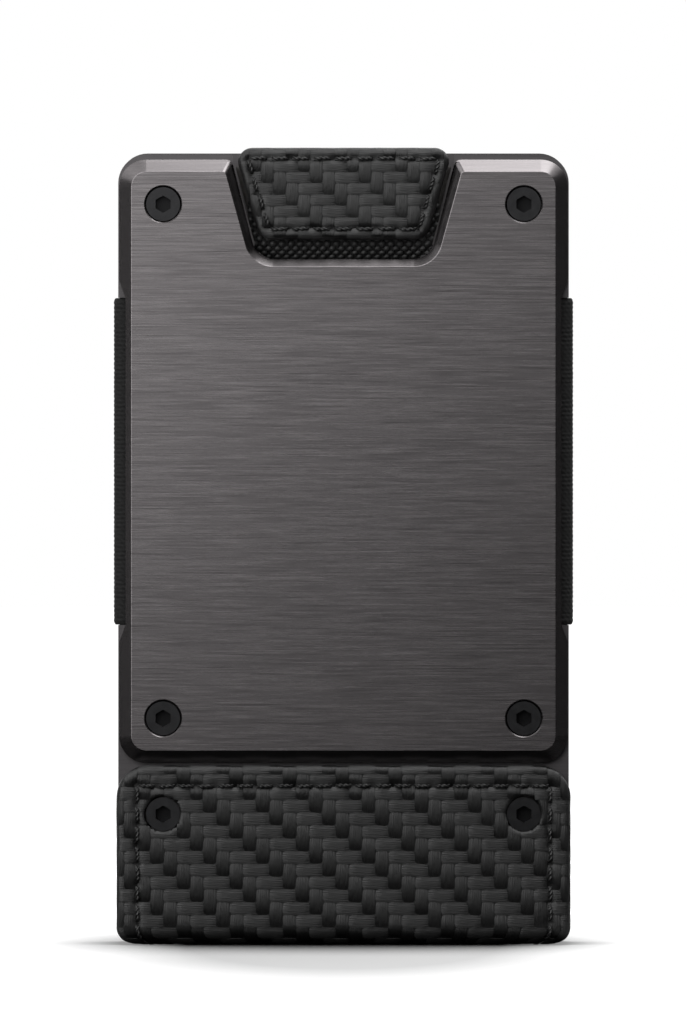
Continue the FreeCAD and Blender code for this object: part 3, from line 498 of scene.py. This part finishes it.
def paintSocketShade(material):
    # the sockets' floors are painted darker than the heads: painted shade in the sockets
    tree = material.node_tree
    shader = next(node for node in tree.nodes if node.type == "BSDF_PRINCIPLED")
    floorAt, headAt = socketShade["floorDepth"]
    spot = addNode(tree, "ShaderNodeTexCoord")
    place = addNode(tree, "ShaderNodeSeparateXYZ", {0: spot.outputs["Object"]})
    depth = addNode(tree, "ShaderNodeMath", {0: place.outputs["Y"]}, operation="ABSOLUTE")
    unshaded = addNode(tree, "ShaderNodeMapRange", {
        "Value": depth.outputs[0], "From Min": floorAt * mm, "From Max": headAt * mm,
        "To Min": socketShade["paintedShade"], "To Max": 1.0})
    steel = shader.inputs["Base Color"].links[0].from_socket
    paintedShade = addNode(tree, "ShaderNodeVectorMath", {0: steel, "Scale": unshaded.outputs[0]}, operation="SCALE")
    tree.links.new(paintedShade.outputs[0], shader.inputs["Base Color"])


paintSocketShade(screwOxide)
for name, node in cad.items():
    if name.endswith("_plate"):
        paint(node, plateMetal)
    elif name.endswith("_chassis"):
        paint(node, chassisMetal)
    elif "screw" in name:
        paint(node, screwOxide)
    elif "rivet" in name:
        paint(node, rivetOxide)
    elif name.startswith("clip_"):
        paint(node, springMetal)
    elif name == "tab_core":
        paint(node, tabBoard)
print("materials ready")


def tracePath(corners, closed=False):
    # corners are (across, along, radius) in mm; gives points every few degrees with their outward normals
    spots = []
    count = len(corners)
    for index, (x, y, radius) in enumerate(corners):
        here = Vector((x, y))
        inner = closed or 0 < index < count - 1
        if not inner or radius <= 0:
            spots.append(here)
            continue
        back = (Vector(corners[index - 1][:2]) - here).normalized()
        ahead = (Vector(corners[(index + 1) % count][:2]) - here).normalized()
        turn = math.pi - back.angle(ahead)
        centre = here + (back + ahead).normalized() * radius / math.cos(turn / 2)
        start = here + back * radius * math.tan(turn / 2)
        finish = here + ahead * radius * math.tan(turn / 2)
        steps = max(4, int(math.degrees(turn) / 6))
        for step in range(steps + 1):
            share = step / steps
            first, last = start - centre, finish - centre
            mix = (first * math.sin((1 - share) * turn) + last * math.sin(share * turn)) / math.sin(turn)
            spots.append(centre + mix)
    if closed:
        spots.append(spots[0].copy())
    path, far = [], 0.0
    for index, spot in enumerate(spots):
        before, after = spots[max(index - 1, 0)], spots[min(index + 1, len(spots) - 1)]
        if closed and index in (0, len(spots) - 1):
            before, after = spots[-2], spots[1]
        ways = [way.normalized() for way in (spot - before, after - spot) if way.length > 1e-6]
        way = sum(ways, Vector((0, 0))).normalized()
        if index:
            far += (spot - spots[index - 1]).length
        path.append((far, spot, Vector((way.y, -way.x))))
    return path


def alongPath(path, far, out):
    # the point at a distance along the path, pushed outwards
    low, high = 0, len(path) - 1
    while high - low > 1:
        middle = (low + high) // 2
        if path[middle][0] <= far:
            low = middle
        else:
            high = middle
    (startFar, start, startOut), (endFar, end, endOut) = path[low], path[high]
    share = (far - startFar) / (endFar - startFar)
    normal = startOut.lerp(endOut, min(max(share, 0), 1)).normalized()
    return start.lerp(end, share) + normal * out


def outlineOf(corners):
    # convex outline, anticlockwise: (across, up, radius)
    sides = []
    count = len(corners)
    for index in range(count):
        start, end = Vector(corners[index][:2]), Vector(corners[(index + 1) % count][:2])
        way = (end - start).normalized()
        sides.append((start, way, Vector((-way.y, way.x))))
    rounds = []
    for index, (x, y, radius) in enumerate(corners):
        before, after = sides[index - 1], sides[index]
        half = before[1].angle(after[1]) / 2
        centre = Vector((x, y)) + (before[2] + after[2]).normalized() * radius / math.cos(half)
        rounds.append((centre, radius, before[1], after[1]))
    return sides, rounds


def insideBy(spot, outline):
    # how far inside the outline a spot is, and the way in
    sides, rounds = outline
    for centre, radius, wayBefore, wayAfter in rounds:
        offset = spot - centre
        if radius > 0 and offset.dot(wayBefore) > 0 and offset.dot(wayAfter) < 0 and offset.length > 1e-9:
            return radius - offset.length, -offset.normalized()
    depths = [((spot - start).dot(inward), inward) for start, way, inward in sides]
    return min(depths, key=lambda found: found[0])


def rolledOver(spot, depth, inward, radius):
    # bends the border of a sheet down over its edge; gives the new spot, the drop and the lean outwards
    if depth >= radius:
        return spot, 0.0, 0.0
    angle = (radius - depth) / radius
    drop = 0.0
    if angle > math.pi / 2:
        drop = (angle - math.pi / 2) * radius
        angle = math.pi / 2
    newDepth = radius - radius * math.sin(angle)
    return spot + inward * (newDepth - depth), drop + radius * (1 - math.cos(angle)), angle


def seamGroove(spot, sheet):
    # the sewn lines pull the leather down, and most at each needle hole
    wide, sink = sheet["grooveWide"], 0.0
    for start, end in sheet["seams"]:
        line = end - start
        share = min(max((spot - start).dot(line) / line.length_squared, 0), 1)
        off = (spot - start - line * share).length
        if off < 3 * wide:
            stitches = round(line.length / sheet["pitch"])
            toHole = abs(share * stitches - round(share * stitches)) * line.length / stitches
            holeShare = math.exp(-(toHole / (0.8 * wide)) ** 2)
            sink = max(sink, sheet["grooveDeep"] * math.exp(-(off / wide) ** 2) * (0.55 + 0.75 * holeShare))
    return sink


hide = {
    "wave": 0.03, "waveRate": 0.35,  # mm of slow unevenness, and how fast it changes for each mm
    "wanderRate": 0.45,
    "pressedTo": -0.13,              # the level that a pressed border settles at
    "pressLeft": 0.2,                # the share of the relief that pressing leaves in the tows
    "pressWide": 0.5,
    "cutSpare": 0.45,                # leather this far inside a hole is cut away
    "turnIn": 0.2,                   # the edge this near a hole is drawn to its circle
    "turnDown": 0.6,                 # the most that it is drawn down there
}


def trimWaste(piece, sheet, deepest):
    # cuts away what lies past the outline's edge or inside a hole
    spots = [Vector(vertex.co[:2]) for vertex in piece.data.vertices]
    past = [insideBy(spot, sheet["outline"])[0] < deepest for spot in spots]
    holed = [any((spot - Vector((x, y))).length < radius - hide["cutSpare"]
                 for x, y, radius in sheet["holes"]) for spot in spots]

    def waste(face):
        return all(past[v] for v in face.vertices) or all(holed[v] for v in face.vertices)

    if any(waste(face) for face in piece.data.polygons):
        editing(piece, waste)
        bpy.ops.mesh.delete(type="FACE")
        doneEditing()


def shapeSheet(piece, sheet, lift=0.0, thread=False):
    # flat work in mm (x across, y along, z out) is trimmed, rolled over at its edges and put in place
    roll = sheet["roll"]
    deepest = roll - (roll * math.pi / 2 + sheet["edgeDown"])
    if not thread:
        trimWaste(piece, sheet, deepest)
    for vertex in piece.data.vertices:
        spot = Vector(vertex.co[:2])
        depth, inward = insideBy(spot, sheet["outline"])
        if depth < deepest:
            spot = spot + inward * (deepest - depth)
            depth = deepest
        press, sink = 1.0, 0.0
        if not thread:
            for x, y, radius in sheet["holes"]:
                away = spot - Vector((x, y))
                if away.length < radius + hide["turnIn"]:
                    sink = min(1.5 * max(radius - away.length, 0), hide["turnDown"])
                    spot = Vector((x, y)) + away.normalized() * radius
            sink += seamGroove(spot, sheet)
            # the border is pressed flat, so that the outline stays even
            press = min(max((depth - sheet["flatEdge"]) / hide["pressWide"] + 1, 0), 1)
            if lift >= 0:
                press = hide["pressLeft"] + (1 - hide["pressLeft"]) * press
        rate = hide["waveRate"]
        wave = hide["wave"] * noise.noise(Vector((spot.x * rate, spot.y * rate, 4.0)))
        out = vertex.co.z + lift
        if out > -weave["depth"]:
            out = hide["pressedTo"] + (out - hide["pressedTo"]) * press
        if sheet["wander"]:
            rate = hide["wanderRate"]
            stray = noise.noise_vector(Vector((spot.x * rate, spot.y * rate, 1.0)))
            spot = spot + Vector(stray[:2]) * sheet["wander"] * press
        spot, drop, lean = rolledOver(spot, depth, inward, roll)
        out += wave - sink
        spot = spot - inward * (out * math.sin(lean))
        vertex.co = sheet["place"](spot.x, spot.y, out * math.cos(lean) - drop) * mm


# woven leather: flat tows in a 2/2 twill
weave = {
    "across": 1.76,   # mm between upright tows
    "up": 1.70,       # mm between level tows
    "gap": 0.03,
    "rise": 0.22,
    "depth": 0.42,    # how far a tow's side wall reaches down
    "wander": 0.10,   # how far a tow strays from its straight line
    "level": (0.45, 7, 0.22),       # droop at the ends, how suddenly, droop at the sides
    "upright": (0.75, 2.2, 0.14),
    "cornersIn": (0.05, 0.12),      # how far a tow's corners draw in, along it and across it
}


def makeTow(long, wide, name):
    # one float of the twill: a flat band that dips under its neighbours at both ends
    endDroop, sudden, sideDroop = weave[name]
    bpy.ops.mesh.primitive_grid_add(x_subdivisions=8, y_subdivisions=4, size=1)
    tow = bpy.context.active_object
    tow.name = name
    editing(tow)
    bpy.ops.transform.resize(value=(long, wide, 1))
    bpy.ops.mesh.select_mode(type="EDGE")
    bpy.ops.mesh.select_all(action="DESELECT")
    bpy.ops.mesh.select_non_manifold()
    bpy.ops.mesh.extrude_region_move(TRANSFORM_OT_translate={"value": (0, 0, -weave["depth"])})
    doneEditing()
    for vertex in tow.data.vertices:
        x, y = 2 * vertex.co.x / long, 2 * vertex.co.y / wide
        corner = (abs(x) * abs(y)) ** 5
        vertex.co.x *= 1 - weave["cornersIn"][0] * corner
        vertex.co.y *= 1 - weave["cornersIn"][1] * corner
        if vertex.co.z > -0.5 * weave["depth"]:
            vertex.co.z = -weave["rise"] * (endDroop * abs(x) ** sudden + sideDroop * y ** 4)
    smooth(tow, 50)
    return tow


def twillCloth(pitchAcross, pitchUp, low, high, phase, name):
    # 2/2 twill over a box of flat leather; each row steps one tow to the right going down
    gap = weave["gap"]
    level = makeTow(2 * pitchAcross - gap, pitchUp - gap, "level")
    paint(level, towAcross)
    upright = makeTow(2 * pitchUp - gap, pitchAcross - gap, "upright")
    paint(upright, towUprightShaded)
    unit = []
    for step in range(4):
        x = (step + 1) * pitchAcross
        y = -(step + 0.5) * pitchUp
        unit.append(copyOf(level, (x, y, 0)))
        # the upright tow in column step lies over rows step - 3 and step - 2
        unit.append(copyOf(upright, ((step + 0.5) * pitchAcross, -(step - 2) * pitchUp, 0), math.pi / 2))
    for tow in (level, upright):
        bpy.data.objects.remove(tow)
    cloth = joined(unit, name)
    blockAcross, blockUp = 4 * pitchAcross, 4 * pitchUp
    startX = low[0] + (phase[0] - low[0]) % blockAcross - blockAcross
    startY = low[1] + (phase[1] - low[1]) % blockUp - blockUp
    countAcross = math.ceil((high[0] - startX) / blockAcross) + 1
    countUp = math.ceil((high[1] - startY) / blockUp) + 2
    editing(cloth)
    bpy.ops.transform.translate(value=(startX, startY, 0))
    doneEditing()
    return repeated(cloth, blockAcross, blockUp, countAcross, countUp)


def groundSheet(low, high, step, name):
    wide, deep = high[0] - low[0], high[1] - low[1]
    bpy.ops.mesh.primitive_grid_add(
        x_subdivisions=math.ceil(wide / step), y_subdivisions=math.ceil(deep / step), size=1)
    ground = bpy.context.active_object
    ground.name = name
    editing(ground)
    bpy.ops.transform.resize(value=(wide, deep, 1))
    bpy.ops.transform.translate(value=((low[0] + high[0]) / 2, (low[1] + high[1]) / 2, 0))
    doneEditing()
    return ground


def thickened(piece, thick):
    pick(piece)
    solid = piece.modifiers.new("thickness", "SOLIDIFY")
    solid.thickness = thick
    solid.offset = -1
    bpy.ops.object.modifier_apply(modifier=solid.name)
    return piece


clearance = 0.02  # mm between two layers that lie on each other

stitching = {
    "ply": 0.155,     # radius of one ply
    "twist": 0.135,   # distance of a ply from the middle of the thread
    "turns": 1.6,     # turns of the twist in one stitch
    "sides": 6, "steps": 12,
    "fill": 0.84,     # the share of the stitch's pitch that the thread shows for
    "rise": 0.46,     # how far the middle of a stitch stands above its ends
    "sunk": 0.54,     # how far its ends lie below the leather
}


def makeStitch(long):
    # two plies twisted round each other, diving into the leather at both ends
    plies = []
    for hand in (0, 1):
        bpy.ops.mesh.primitive_circle_add(
            vertices=stitching["sides"], radius=stitching["ply"], rotation=(0, math.pi / 2, 0))
        ply = bpy.context.active_object
        bpy.ops.object.transform_apply()
        editing(ply)
        bpy.ops.mesh.select_mode(type="VERT")
        bpy.ops.mesh.select_all(action="SELECT")
        for step in range(stitching["steps"]):
            bpy.ops.mesh.extrude_region_move(
                TRANSFORM_OT_translate={"value": (long / stitching["steps"], 0, 0)})
        doneEditing()
        for vertex in ply.data.vertices:
            share = vertex.co.x / long
            angle = 2 * math.pi * stitching["turns"] * share + math.pi * hand
            bow = 1 - abs(2 * share - 1) ** 4
            vertex.co.y += stitching["twist"] * math.cos(angle)
            vertex.co.z += stitching["twist"] * math.sin(angle) + stitching["rise"] * bow - stitching["sunk"]
            vertex.co.x -= long / 2
        plies.append(ply)
    stitch = joined(plies, "stitch")
    paint(stitch, threadBlack)
    smooth(stitch, 60)
    return stitch


def sewSeams(sheet, lift, name):
    rows = []
    for start, end in sheet["seams"]:
        line = end - start
        count = round(line.length / sheet["pitch"])
        step = line.length / count
        stitch = makeStitch(step * stitching["fill"])
        editing(stitch)
        bpy.ops.transform.translate(value=(step / 2, 0, 0))
        doneEditing()
        repeated(stitch, step, 0, count, 1)
        stitch.location = (start.x, start.y, 0)
        stitch.rotation_euler = (0, 0, math.atan2(line.y, line.x))
        pick(stitch)
        bpy.ops.object.transform_apply()
        rows.append(stitch)
    thread = joined(rows, name)
    shapeSheet(thread, sheet, lift, thread=True)
    return thread


# the leather spine, wrapped under both halves
spine = {
    "halfWide": 30.33, "top": 24.0, "fold": 2.6, "half": 7.5,
    "corner": 4.4, "footCorner": 2.4,
    "roll": 0.75, "edgeDown": 0.45, "flatEdge": 0.9,    # how the cut edge turns down
    "seamIn": 2.85, "seamPitch": 2.65, "grooveWide": 0.42, "grooveDeep": 0.30, "threadLift": 0.13,
    "screwX": 24.0, "screwZ": 17.4, "screwGap": 0.10,
    "leather": 1.3, "groundStep": 0.6, "groundGap": 0.05,
    "towLeft": -20.4, "towAbove": 0.2,    # where one level tow starts, from the middle and the screws
    "lining": 0.7, "liningIn": 0.9, "liningRoll": 0.05, "liningStep": 0.8, "liningHole": 1.4,
    "spare": 1.2,    # mm of cloth past the outline, trimmed away
}


def buildSpine():
    half, top, fold = spine["half"], spine["top"], spine["fold"]
    path = tracePath([(-half, top, 0), (-half, 0, fold), (half, 0, fold), (half, top, 0)])
    long = path[-1][0]
    wide = spine["halfWide"]
    foot = spine["footCorner"]

    def place(x, v, out):
        # v runs from the top of the back, under the foot, to the top of the front
        spot = alongPath(path, long / 2 - v, out)
        low = min(max(spot.y, 0), foot)
        narrow = foot - math.sqrt(foot ** 2 - (foot - low) ** 2)
        return Vector((x * (1 - narrow / wide), spot.x, spot.y))

    end = long / 2
    screwV = end - (top - spine["screwZ"])
    seamX, seamV = wide - spine["seamIn"], end - spine["seamIn"]
    seamCorners = [Vector(at) for at in ((-seamX, seamV), (seamX, seamV), (seamX, -seamV), (-seamX, -seamV))]
    rows = [(seamCorners[at], seamCorners[(at + 1) % 4]) for at in range(4)]
    headLow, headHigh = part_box("front_spine_screw_left")
    hole = (headHigh[0] - headLow[0]) / 2 / mm + spine["screwGap"]

    def outlineIn(inset):
        x, v, corner = wide - inset, end - inset, spine["corner"] - inset
        return outlineOf([(-x, -v, corner), (x, -v, corner), (x, v, corner), (-x, v, corner)])

    sheet = {
        "outline": outlineIn(0), "seams": rows, "pitch": spine["seamPitch"], "wander": weave["wander"],
        "holes": [(sx * spine["screwX"], sv * screwV, hole) for sx in (-1, 1) for sv in (-1, 1)],
        "place": place,
        **{name: spine[name] for name in ("roll", "edgeDown", "flatEdge", "grooveWide", "grooveDeep")},
    }
    low, high = [(side * (wide + spine["spare"]), side * (end + spine["spare"])) for side in (-1, 1)]
    phase = (spine["towLeft"], screwV + spine["towAbove"])
    cloth = twillCloth(weave["across"], weave["up"], low, high, phase, "spineTows")
    shapeSheet(cloth, sheet)
    ground = groundSheet(low, high, spine["groundStep"], "spineGround")
    shapeSheet(ground, sheet, -weave["rise"])
    thickened(ground, (spine["leather"] - weave["rise"] - spine["groundGap"]) * mm)
    paint(ground, hideGround)
    smooth(ground, 50)
    leather = joined([cloth, ground], "spineLeather")
    thread = sewSeams(sheet, spine["threadLift"], "spineThread")

    # the lining lies just inside the leather, and is left smooth
    inner = {
        **sheet, "roll": spine["liningRoll"], "edgeDown": 0.0, "flatEdge": 0.0, "wander": 0, "seams": [],
        "place": lambda x, v, out: place(x, v, out - spine["leather"] - clearance),
        "outline": outlineIn(spine["liningIn"]),
        "holes": [(x, v, spine["liningHole"]) for x, v, radius in sheet["holes"]],
    }
    lining = groundSheet(low, high, spine["liningStep"], "spineLining")
    shapeSheet(lining, inner)
    thickened(lining, (spine["lining"] - 2 * clearance) * mm)
    paint(lining, plainHide)
    smooth(lining, 50)
    for piece in (leather, thread, lining):
        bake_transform(piece)
    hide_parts("spine_leather")
    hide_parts("spine_lining")


buildSpine()
print("spine leather ready")


# the pull tab: woven leather in front, a board, and plain leather behind
tab = {
    "low": 93.7, "high": 106.2, "lowHalf": 11.14, "highHalf": 14.8,
    "lowCorner": 2.4, "highCorner": 2.0, "face": -7.2,
    "roll": 0.85, "edgeDown": 0.3, "flatEdge": 0.9,
    "seamIn": 1.55, "seamPitch": 2.75, "grooveWide": 0.4, "grooveDeep": 0.3, "threadLift": 0.10,
    "across": 1.62, "up": 1.50, "towLeft": -7.66, "towTop": 102.85,
    "leather": 1.3, "groundStep": 0.4, "groundGap": 0.05, "spare": 1.2,
    "backLow": 97.9, "backHigh": 103.8, "backLowHalf": 12.87, "backHighHalf": 14.5,
    "backLowCorner": 0.1, "backHighCorner": 0.4, "backRoll": 0.12, "backStep": 0.35, "backSpare": 0.5,
    "backFace": -4.0, "backing": 1.0,
}


def insetCorners(corners, inset):
    # the corners of an outline drawn a little inside another
    sides, rounds = outlineOf(corners)
    spots = []
    for index in range(len(corners)):
        (startA, wayA, inA), (startB, wayB, inB) = sides[index - 1], sides[index]
        a, b = startA + inA * inset, startB + inB * inset
        cross = wayA.x * wayB.y - wayA.y * wayB.x
        share = ((b - a).x * wayB.y - (b - a).y * wayB.x) / cross
        spots.append(a + wayA * share)
    return spots


def tabCorners(low, high, lowHalf, highHalf, lowCorner, highCorner):
    return [(-lowHalf, low, lowCorner), (lowHalf, low, lowCorner),
            (highHalf, high, highCorner), (-highHalf, high, highCorner)]


def buildTab():
    corners = tabCorners(tab["low"], tab["high"], tab["lowHalf"], tab["highHalf"],
                         tab["lowCorner"], tab["highCorner"])
    seamCorners = insetCorners(corners, tab["seamIn"])
    sheet = {
        "outline": outlineOf(corners), "holes": [], "wander": weave["wander"],
        "seams": [(seamCorners[at], seamCorners[(at + 1) % 4]) for at in range(4)],
        "pitch": tab["seamPitch"],
        "place": lambda x, z, out: Vector((x, tab["face"] - out, z)),
        **{name: tab[name] for name in ("roll", "edgeDown", "flatEdge", "grooveWide", "grooveDeep")},
    }
    spare = tab["spare"]
    low = (-tab["highHalf"] - spare, tab["low"] - spare)
    high = (tab["highHalf"] + spare, tab["high"] + spare)
    cloth = twillCloth(tab["across"], tab["up"], low, high, (tab["towLeft"], tab["towTop"]), "tabTows")
    shapeSheet(cloth, sheet)
    ground = groundSheet(low, high, tab["groundStep"], "tabGround")
    shapeSheet(ground, sheet, -weave["rise"])
    thickened(ground, (tab["leather"] - weave["rise"] - tab["groundGap"]) * mm)
    paint(ground, hideGround)
    smooth(ground, 50)
    leather = joined([cloth, ground], "tabLeather")
    thread = sewSeams(sheet, tab["threadLift"], "tabThread")
    for piece in (leather, thread):
        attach(piece, "pull_tab")
    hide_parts("tab_front_leather")

    backCorners = tabCorners(tab["backLow"], tab["backHigh"], tab["backLowHalf"], tab["backHighHalf"],
                             tab["backLowCorner"], tab["backHighCorner"])
    backSheet = {
        **sheet, "outline": outlineOf(backCorners), "roll": tab["backRoll"], "edgeDown": 0.0,
        "flatEdge": 0.0, "wander": 0, "seams": [],
        "place": lambda x, z, out: Vector((x, tab["backFace"] - out, z)),
    }
    spare = tab["backSpare"]
    low = (-tab["backHighHalf"] - spare, tab["backLow"] - spare)
    high = (tab["backHighHalf"] + spare, tab["backHigh"] + spare)
    back = groundSheet(low, high, tab["backStep"], "tabBacking")
    shapeSheet(back, backSheet, -clearance)
    thickened(back, (tab["backing"] - 2 * clearance) * mm)
    paint(back, plainHide)
    smooth(back, 50)
    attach(back, "pull_tab")
    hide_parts("tab_back_leather")


buildTab()
print("pull tab ready")


# webbing: the strap that lifts the cards
webbing = {
    "halfWide": 12.7, "core": 0.46, "coreStep": 0.8, "coreBevel": 0.12,
    "pitch": 1.16, "row": 0.62,
    "pick": (0.80, 1.2, 0.44),    # one bump: shares of the pitch and the row, and mm high
    "pickLean": -16,              # degrees
    "pickSunk": 0.01,
    "split": 6.0, "jogLow": 90.9, "jogHigh": 93.3, "jogRadius": 1.6,
    "runY": -3.0, "tabY": -4.4, "top": 103.8,
    "foldEnd": 5.7, "foldLow": 2.7, "foldRadius": 0.8, "returnTop": 98.0,
}


def makeBump():
    # one pick of the weave, a seed-shaped bump
    bpy.ops.mesh.primitive_uv_sphere_add(segments=6, ring_count=4, radius=0.5)
    bump = bpy.context.active_object
    bump.name = "pickBump"
    editing(bump, lambda face: face.center.z < -0.01)
    bpy.ops.mesh.delete(type="FACE")
    bpy.ops.mesh.select_all(action="SELECT")
    long, wide, high = webbing["pick"]
    bpy.ops.transform.resize(value=(webbing["pitch"] * long, webbing["row"] * wide, high))
    bpy.ops.transform.rotate(
        value=math.radians(webbing["pickLean"]), orient_axis="Z", center_override=(0, 0, 0))
    doneEditing()
    smooth(bump, 80)
    paint(bump, webYarn)
    return bump


def webStrip(long, name):
    wide = webbing["halfWide"]
    countAcross = int(2 * wide / webbing["pitch"])
    countUp = int(long / (2 * webbing["row"]))
    pitch = 2 * wide / countAcross
    faces = []
    for hand in (1, -1):
        bump = makeBump()
        other = copyOf(bump, (pitch / 2, webbing["row"], 0))
        pair = joined([bump, other], "pickPair")
        editing(pair)
        bpy.ops.transform.translate(
            value=(-wide + pitch / 4, webbing["row"] / 2, webbing["core"] / 2 - webbing["pickSunk"]))
        doneEditing()
        repeated(pair, pitch, 2 * webbing["row"], countAcross, countUp)
        if hand < 0:
            pair.scale = (1, 1, -1)
            pick(pair)
            bpy.ops.object.transform_apply()
            editing(pair)
            bpy.ops.mesh.flip_normals()
            doneEditing()
        faces.append(pair)
    core = groundSheet((-wide, 0), (wide, long), webbing["coreStep"], "webCore")
    editing(core)
    bpy.ops.transform.translate(value=(0, 0, webbing["core"] / 2))
    doneEditing()
    thickened(core, webbing["core"])
    bevel = core.modifiers.new("softEdge", "BEVEL")
    bevel.width, bevel.segments, bevel.limit_method = webbing["coreBevel"], 2, "ANGLE"
    bpy.ops.object.modifier_apply(modifier=bevel.name)
    paint(core, webGround)
    smooth(core, 40)
    return joined([*faces, core], name)


def bendStrip(piece, path):
    for vertex in piece.data.vertices:
        spot = alongPath(path, vertex.co.y, vertex.co.z)
        vertex.co = Vector((vertex.co.x, spot.x, spot.y)) * mm


def buildStrap():
    bend = webbing["jogRadius"]
    run = tracePath([
        (webbing["runY"], webbing["split"], 0), (webbing["runY"], webbing["jogLow"], bend),
        (webbing["tabY"], webbing["jogHigh"], bend), (webbing["tabY"], webbing["top"], 0)])
    sliding = webStrip(run[-1][0], "strapRun")
    bendStrip(sliding, run)
    # its lower end stays with the front half, and the webbing between stretches to the tab
    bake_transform(sliding)
    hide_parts("strap_sliding_run")

    side = -webbing["runY"]
    fold = tracePath([
        (-side, webbing["foldEnd"], 0), (-side, webbing["foldLow"], webbing["foldRadius"]),
        (side, webbing["foldLow"], webbing["foldRadius"]), (side, webbing["returnTop"], 0)])
    fixed = webStrip(fold[-1][0], "strapReturn")
    bendStrip(fixed, fold)
    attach(fixed, "back_half")
    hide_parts("strap_fold_and_return")


buildStrap()
print("webbing ready")


# the elastic band that draws the halves together
band = {
    "halfX": 30.2, "halfY": 5.05, "corner": 0.65, "thick": 0.8,
    "low": 42.6, "high": 86.1,
    "rib": 0.62, "ribRise": 0.03, "ribSteps": 4,
    "ribSway": 0.9, "swayRate": 5.2,        # the ribs waver a little round the band
    "uneven": 0.03, "unevenRate": (1.1, 60),
    "edgeThin": 0.25, "edgeWide": 0.4,      # the woven edges are thinner
    "fine": 0.45, "coarse": 2.4, "sideFrom": 26.0,
}


def buildBand():
    hx, hy, corner = band["halfX"], band["halfY"], band["corner"]
    high = band["high"] - band["low"]
    loop = tracePath([(0, -hy, 0), (hx, -hy, corner), (hx, hy, corner),
                      (-hx, hy, corner), (-hx, -hy, corner), (0, -hy, 0)])
    long = loop[-1][0]
    # fine divisions where the band shows at the sides, wide ones between the metal sheets
    marks, far = [], 0.0
    while far < long:
        marks.append(far)
        far += band["fine"] if abs(alongPath(loop, far, 0).x) > band["sideFrom"] else band["coarse"]
    marks[-1] = long - 1e-4
    ribs = round(high / band["rib"])
    bpy.ops.mesh.primitive_grid_add(
        x_subdivisions=len(marks) - 1, y_subdivisions=ribs * band["ribSteps"], size=1)
    piece = bpy.context.active_object
    piece.name = "elasticBand"
    alongRate, upRate = band["unevenRate"]
    for vertex in piece.data.vertices:
        far = marks[round((vertex.co.x + 0.5) * (len(marks) - 1))]
        share = vertex.co.y + 0.5
        wave = math.cos(2 * math.pi * share * ribs + band["ribSway"] * math.sin(far * band["swayRate"]))
        lift = band["ribRise"] * (wave - 1)
        lift += band["uneven"] * noise.noise(Vector((far * alongRate, share * upRate, 0)))
        edge = min(share, 1 - share) * high
        lift -= band["edgeThin"] * max(0, 1 - edge / band["edgeWide"]) ** 2
        spot = alongPath(loop, far, band["thick"] / 2 + lift)
        vertex.co = Vector((spot.x, spot.y, band["low"] + share * high)) * mm
    editing(piece)
    bpy.ops.mesh.remove_doubles(threshold=0.02 * mm)
    doneEditing()
    thickened(piece, (band["thick"] - 2 * band["ribRise"] - 0.05) * mm)
    paint(piece, bandYarn)
    smooth(piece, 60)
    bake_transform(piece)
    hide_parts("elastic_band")


buildBand()
print("elastic band ready")
